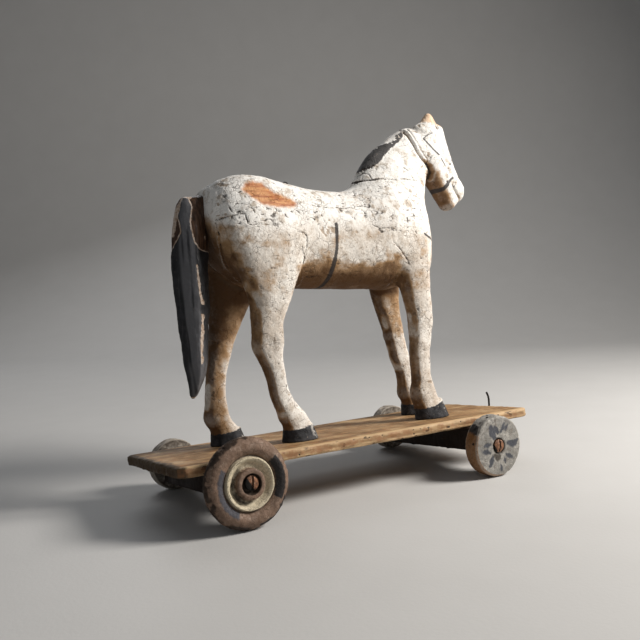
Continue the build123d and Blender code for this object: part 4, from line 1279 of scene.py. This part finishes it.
def build_screw(corner, width, seat, off_centre, painted_shadow_reach, seed):
    """Slotted screw, rusted, whose head has settled off the middle of its hole, with the hole's painted shadow
    over part of it.
    """
    wheel = Wheel(corner)
    end = -(width / 2 + SCREW_EMBED)
    reach = HEAD_RADIUS + 1.6
    block = Block((-reach, -reach, end - 2), (reach, reach, seat + HEAD_HEIGHT + 1.2), 0.36)
    du, dv = off_centre
    radius = np.hypot(block.x - du, block.y - dv)
    dome = ball(block, (du, dv, seat - 2.6), (9.0, 9.0, HEAD_HEIGHT + 2.6))
    head = -merge(-dome, -slab(radius - HEAD_RADIUS, np.abs(block.z - seat - 2) - 2, 0.5), 0.4)
    slot_turn = radians(-8)
    across_slot = (block.x - du) * cos(slot_turn) + (block.y - dv) * sin(slot_turn)
    slot_gap = np.maximum(np.abs(across_slot) - 0.75, seat + HEAD_HEIGHT - 1.9 - block.z)
    head = cut(head, slot_gap, 0.3)
    taper = np.clip((block.z - end) / 10, 0.05, 1)
    shank = np.maximum(end - block.z, block.z - seat - 1)
    shank = np.maximum(np.hypot(block.x, block.y) - SHANK_RADIUS * taper, shank)
    field = merge(head, shank, 0.5)
    points, out, quads = carve(field, block)
    depth = 0.10 + 0.14 * noise(points, 1.6, seed, 2) * (points[:, 2] > seat - 0.5)
    slot_here = np.abs((points[:, 0] - du) * cos(slot_turn) + (points[:, 1] - dv) * sin(slot_turn)) - 0.8
    crack = np.maximum(slot_here, seat + HEAD_HEIGHT - 1.6 - points[:, 2]) + 0.3
    # painted shadow of the hole's rim over the left of the head
    crescent = points[:, 0] + 0.55 * points[:, 1] - painted_shadow_reach + 0.5 * noise(points, 2, seed + 20, 2)
    crack = np.minimum(crack, np.where(points[:, 2] > seat, crescent, 9))
    features = {"hollow": hollow_measure(points, out, quads, 6), "crack": crack}
    points = sunk(points, out, np.maximum(depth, 0))
    make_piece(f"rusty_{corner}_screw", wheel.to_frame(points), quads, HORSE, iron,
               [f"{corner}_screw"], features)


def build_axle_block(end, seed):
    """Batten under the board, from just inside one wheel to just inside the other."""
    right, left = Wheel(f"{end}_right").deck_place(), Wheel(f"{end}_left").deck_place()
    low_y, high_y = right[1] + BIG_WIDTH / 2 + 1.6, left[1] - SMALL_WIDTH / 2 - 1.6
    low_z, high_z = -BOARD_THICKNESS - 21.0, -BOARD_THICKNESS
    middle = (right[0], (low_y + high_y) / 2, (low_z + high_z) / 2)
    block = Block((middle[0] - 16, low_y - 3, low_z - 3), (middle[0] + 16, high_y + 3, high_z + 3), 1.0)
    plan = np.maximum(np.abs(block.x - middle[0]) - 13.0, np.abs(block.y - middle[1]) - (high_y - low_y) / 2)
    field = slab(plan, np.abs(block.z - middle[2]) - 10.5, 1.3)
    points, out, quads = carve(field, block)
    saw = noise(points, np.array((40.0, 3.0, 9.0)), seed, 2)
    wear = 0.12 + 0.18 * saw + 0.3 * ramp(noise(points, 6, seed + 1, 3), 0.3, 0.8)
    soil_and_shade = 0.2 + 0.3 * noise(points, 20, seed + 2, 2)
    features = {"hollow": hollow_measure(points, out, quads), "soil_and_shade": soil_and_shade}
    points = sunk(points, out, np.maximum(wear, 0))
    make_piece(f"{end}_batten", deck_to_frame(points), quads, HORSE, block_wood,
               [f"{end}_axle_block"], features)


WIRE_SPACING, WIRE_SIDES = 0.45, 16


def wire(name, route, radius, node, seed):
    """Bent iron wire along a route in the horse's middle plane."""
    route = np.array(route, float)
    steps = np.r_[0, np.cumsum(np.linalg.norm(np.diff(route, axis=0), axis=1))]
    at = np.linspace(0, steps[-1], int(steps[-1] / WIRE_SPACING))
    x, z = follow(np.column_stack([steps, route]), at)
    dx, dz = np.gradient(x), np.gradient(z)
    size = np.hypot(dx, dz)
    sides = WIRE_SIDES
    turn = np.linspace(0, 2 * pi, sides, endpoint=False)
    side_x, side_z = (dz / size)[:, None] * np.cos(turn), (-dx / size)[:, None] * np.cos(turn)
    out = np.stack([side_x, np.sin(turn) + 0 * side_x, side_z], -1)
    ends = np.minimum(1, np.sqrt(np.minimum(at, at[-1] - at) / radius * 2 + 0.02))
    spine = np.stack([x, 0 * x, z], -1)[:, None]
    points = (spine + radius * ends[:, None, None] * out).reshape(-1, 3)
    points = points - out.reshape(-1, 3) * (0.05 + 0.06 * noise(points, 1.4, seed, 2))[:, None]
    i, j = np.meshgrid(np.arange(len(at) - 1), np.arange(sides), indexing="ij")
    nj = (j + 1) % sides
    ring, ahead = i * sides, (i + 1) * sides
    quads = np.stack([ring + j, ring + nj, ahead + nj, ahead + j], -1).reshape(-1, 4)
    first = np.arange(sides)[::-1]
    last = (len(at) - 1) * sides + np.arange(sides)
    caps = [(ring[0], ring[k], ring[k + 1]) for ring in (first, last) for k in range(1, sides - 1)]
    triangles = np.concatenate([quads[:, [0, 1, 2]], quads[:, [0, 2, 3]], caps])
    make_piece(name, deck_to_frame(points), triangles, HORSE, iron, [node], {})


HOOK_ROUTE = [(167, -4.5), (175, -4.5), (182.2, -4.5), (184.4, -3.9), (185.6, -1.8), (186.0, 2), (186.1, 6),
              (185.2, 10), (183.6, 13.4)]
STAPLE_ROUTE = [(-38, 211.6), (-38, 218), (-38, 222.4), (-37.2, 224.6), (-35, 225.6), (-32.8, 224.6),
                (-32, 222.4), (-32, 218), (-32, 211.6)]


# name, place in metres, side of its square in metres, watts, colour
LAMPS = [
    ("key", (0.85, -0.60, 0.80), 0.40, 25, (1.0, 0.965, 0.92)),
    ("fill", (-1.2, -0.9, 0.9), 1.4, 2.4, (0.9, 0.95, 1.0)),
    ("back", (0.2, 1.3, 1.1), 1.0, 6, (0.95, 0.97, 1.0)),
]
WORLD_COLOUR, WORLD_STRENGTH = (0.80, 0.83, 0.88, 1), 0.11
CAMERA_PLACE = (-395.2, -590.5, 189.9)    # mm
CAMERA_TURNS = (32.27, -3.51, -2.23)      # yaw, pitch and roll in degrees
LENS, SENSOR = 44.47, 36
SWEEP_NEAR, SWEEP_BEND_START, SWEEP_BEND, SWEEP_RISE, SWEEP_HALF_WIDTH = -3.0, 1.1, 0.8, 3.0, 4.0


def camera_and_stage():
    """The viewpoint found for the photographed toy, a pale studio sweep and soft light from the right."""
    eye = Vector(CAMERA_PLACE) * MM
    yaw, pitch, roll = [radians(turn) for turn in CAMERA_TURNS]
    look = Vector((sin(yaw) * cos(pitch), cos(yaw) * cos(pitch), sin(pitch)))
    level = Vector((cos(yaw), -sin(yaw), 0))
    over = level.cross(look)
    right = level * cos(roll) + over * sin(roll)
    up = over * cos(roll) - level * sin(roll)
    camera_data = bpy.data.cameras.new("camera")
    camera_data.lens, camera_data.sensor_width = LENS, SENSOR
    camera_data.clip_start, camera_data.clip_end = 0.01, 30
    camera = bpy.data.objects.new("camera", camera_data)
    columns = Matrix((right, up, -look)).transposed()
    camera.matrix_world = Matrix.Translation(eye) @ columns.to_4x4()
    bpy.context.scene.collection.objects.link(camera)
    bpy.context.scene.camera = camera

    floor = Finish("studio_floor", specular=0.2)
    floor.colour = floor.mix(floor.noise(60, 3), (0.50, 0.49, 0.475), (0.54, 0.53, 0.515))
    sweep_material = floor.finish(0.6, [(floor.noise(3, 2), 0.1)])
    profile = [(SWEEP_NEAR, 0.0), (SWEEP_BEND_START, 0.0)]
    profile += [(SWEEP_BEND_START + SWEEP_BEND * sin(a), SWEEP_BEND * (1 - cos(a)))
                for a in np.linspace(0, pi / 2, 17)[1:]]
    profile += [(SWEEP_BEND_START + SWEEP_BEND, SWEEP_BEND + SWEEP_RISE)]
    forward = Vector((sin(yaw), cos(yaw), 0))
    points = [tuple(forward * along + level * side + Vector((0, 0, height)))
              for along, height in profile for side in (-SWEEP_HALF_WIDTH, SWEEP_HALF_WIDTH)]
    faces = [(2 * i, 2 * i + 1, 2 * i + 3, 2 * i + 2) for i in range(len(profile) - 1)]
    mesh = bpy.data.meshes.new("studio_sweep")
    mesh.from_pydata(points, [], faces)
    mesh.polygons.foreach_set("use_smooth", [True] * len(faces))
    mesh.materials.append(sweep_material)
    sweep = bpy.data.objects.new("studio_sweep", mesh)
    bpy.context.scene.collection.objects.link(sweep)

    def lamp(name, place, size, power, colour):
        data = bpy.data.lights.new(name, "AREA")
        data.shape, data.size, data.size_y = "RECTANGLE", size, size
        data.energy, data.color = power, colour
        light = bpy.data.objects.new(name, data)
        light.location = place
        light.rotation_euler = (Vector((0, 0, 0.16)) - Vector(place)).to_track_quat("-Z", "Y").to_euler()
        bpy.context.scene.collection.objects.link(light)

    for lamp_settings in LAMPS:
        lamp(*lamp_settings)
    world = bpy.data.worlds.new("studio")
    world.use_nodes = True
    world.node_tree.nodes["Background"].inputs[0].default_value = WORLD_COLOUR
    world.node_tree.nodes["Background"].inputs[1].default_value = WORLD_STRENGTH
    bpy.context.scene.world = world
    bpy.context.scene.view_settings.view_transform = "Standard"


build_horse()
build_tail()
build_board()
for number, row in enumerate(WHEELS):
    corner, radius, width, slot, paint = row[:5]
    profile = big_profile() if corner == "rear_right" else disc_profile(radius, width)
    build_wheel(corner, profile, radius, width, paint, 200 + 10 * number)
for number, row in enumerate(WHEELS):
    build_screw(row[0], row[2], *row[5:], 300 + number)
build_axle_block("rear", 310)
build_axle_block("front", 320)
wire("pull_wire", HOOK_ROUTE, 1.05, "pull_hook", 330)
wire("staple_wire", STAPLE_ROUTE, 0.6, "back_staple", 331)
for node, piece in frame["nodes"].items():
    if not piece.hide_render:
        piece.data.materials.clear()
        piece.data.materials.append(iron if node == "block_nails" else peg_wood)
camera_and_stage()
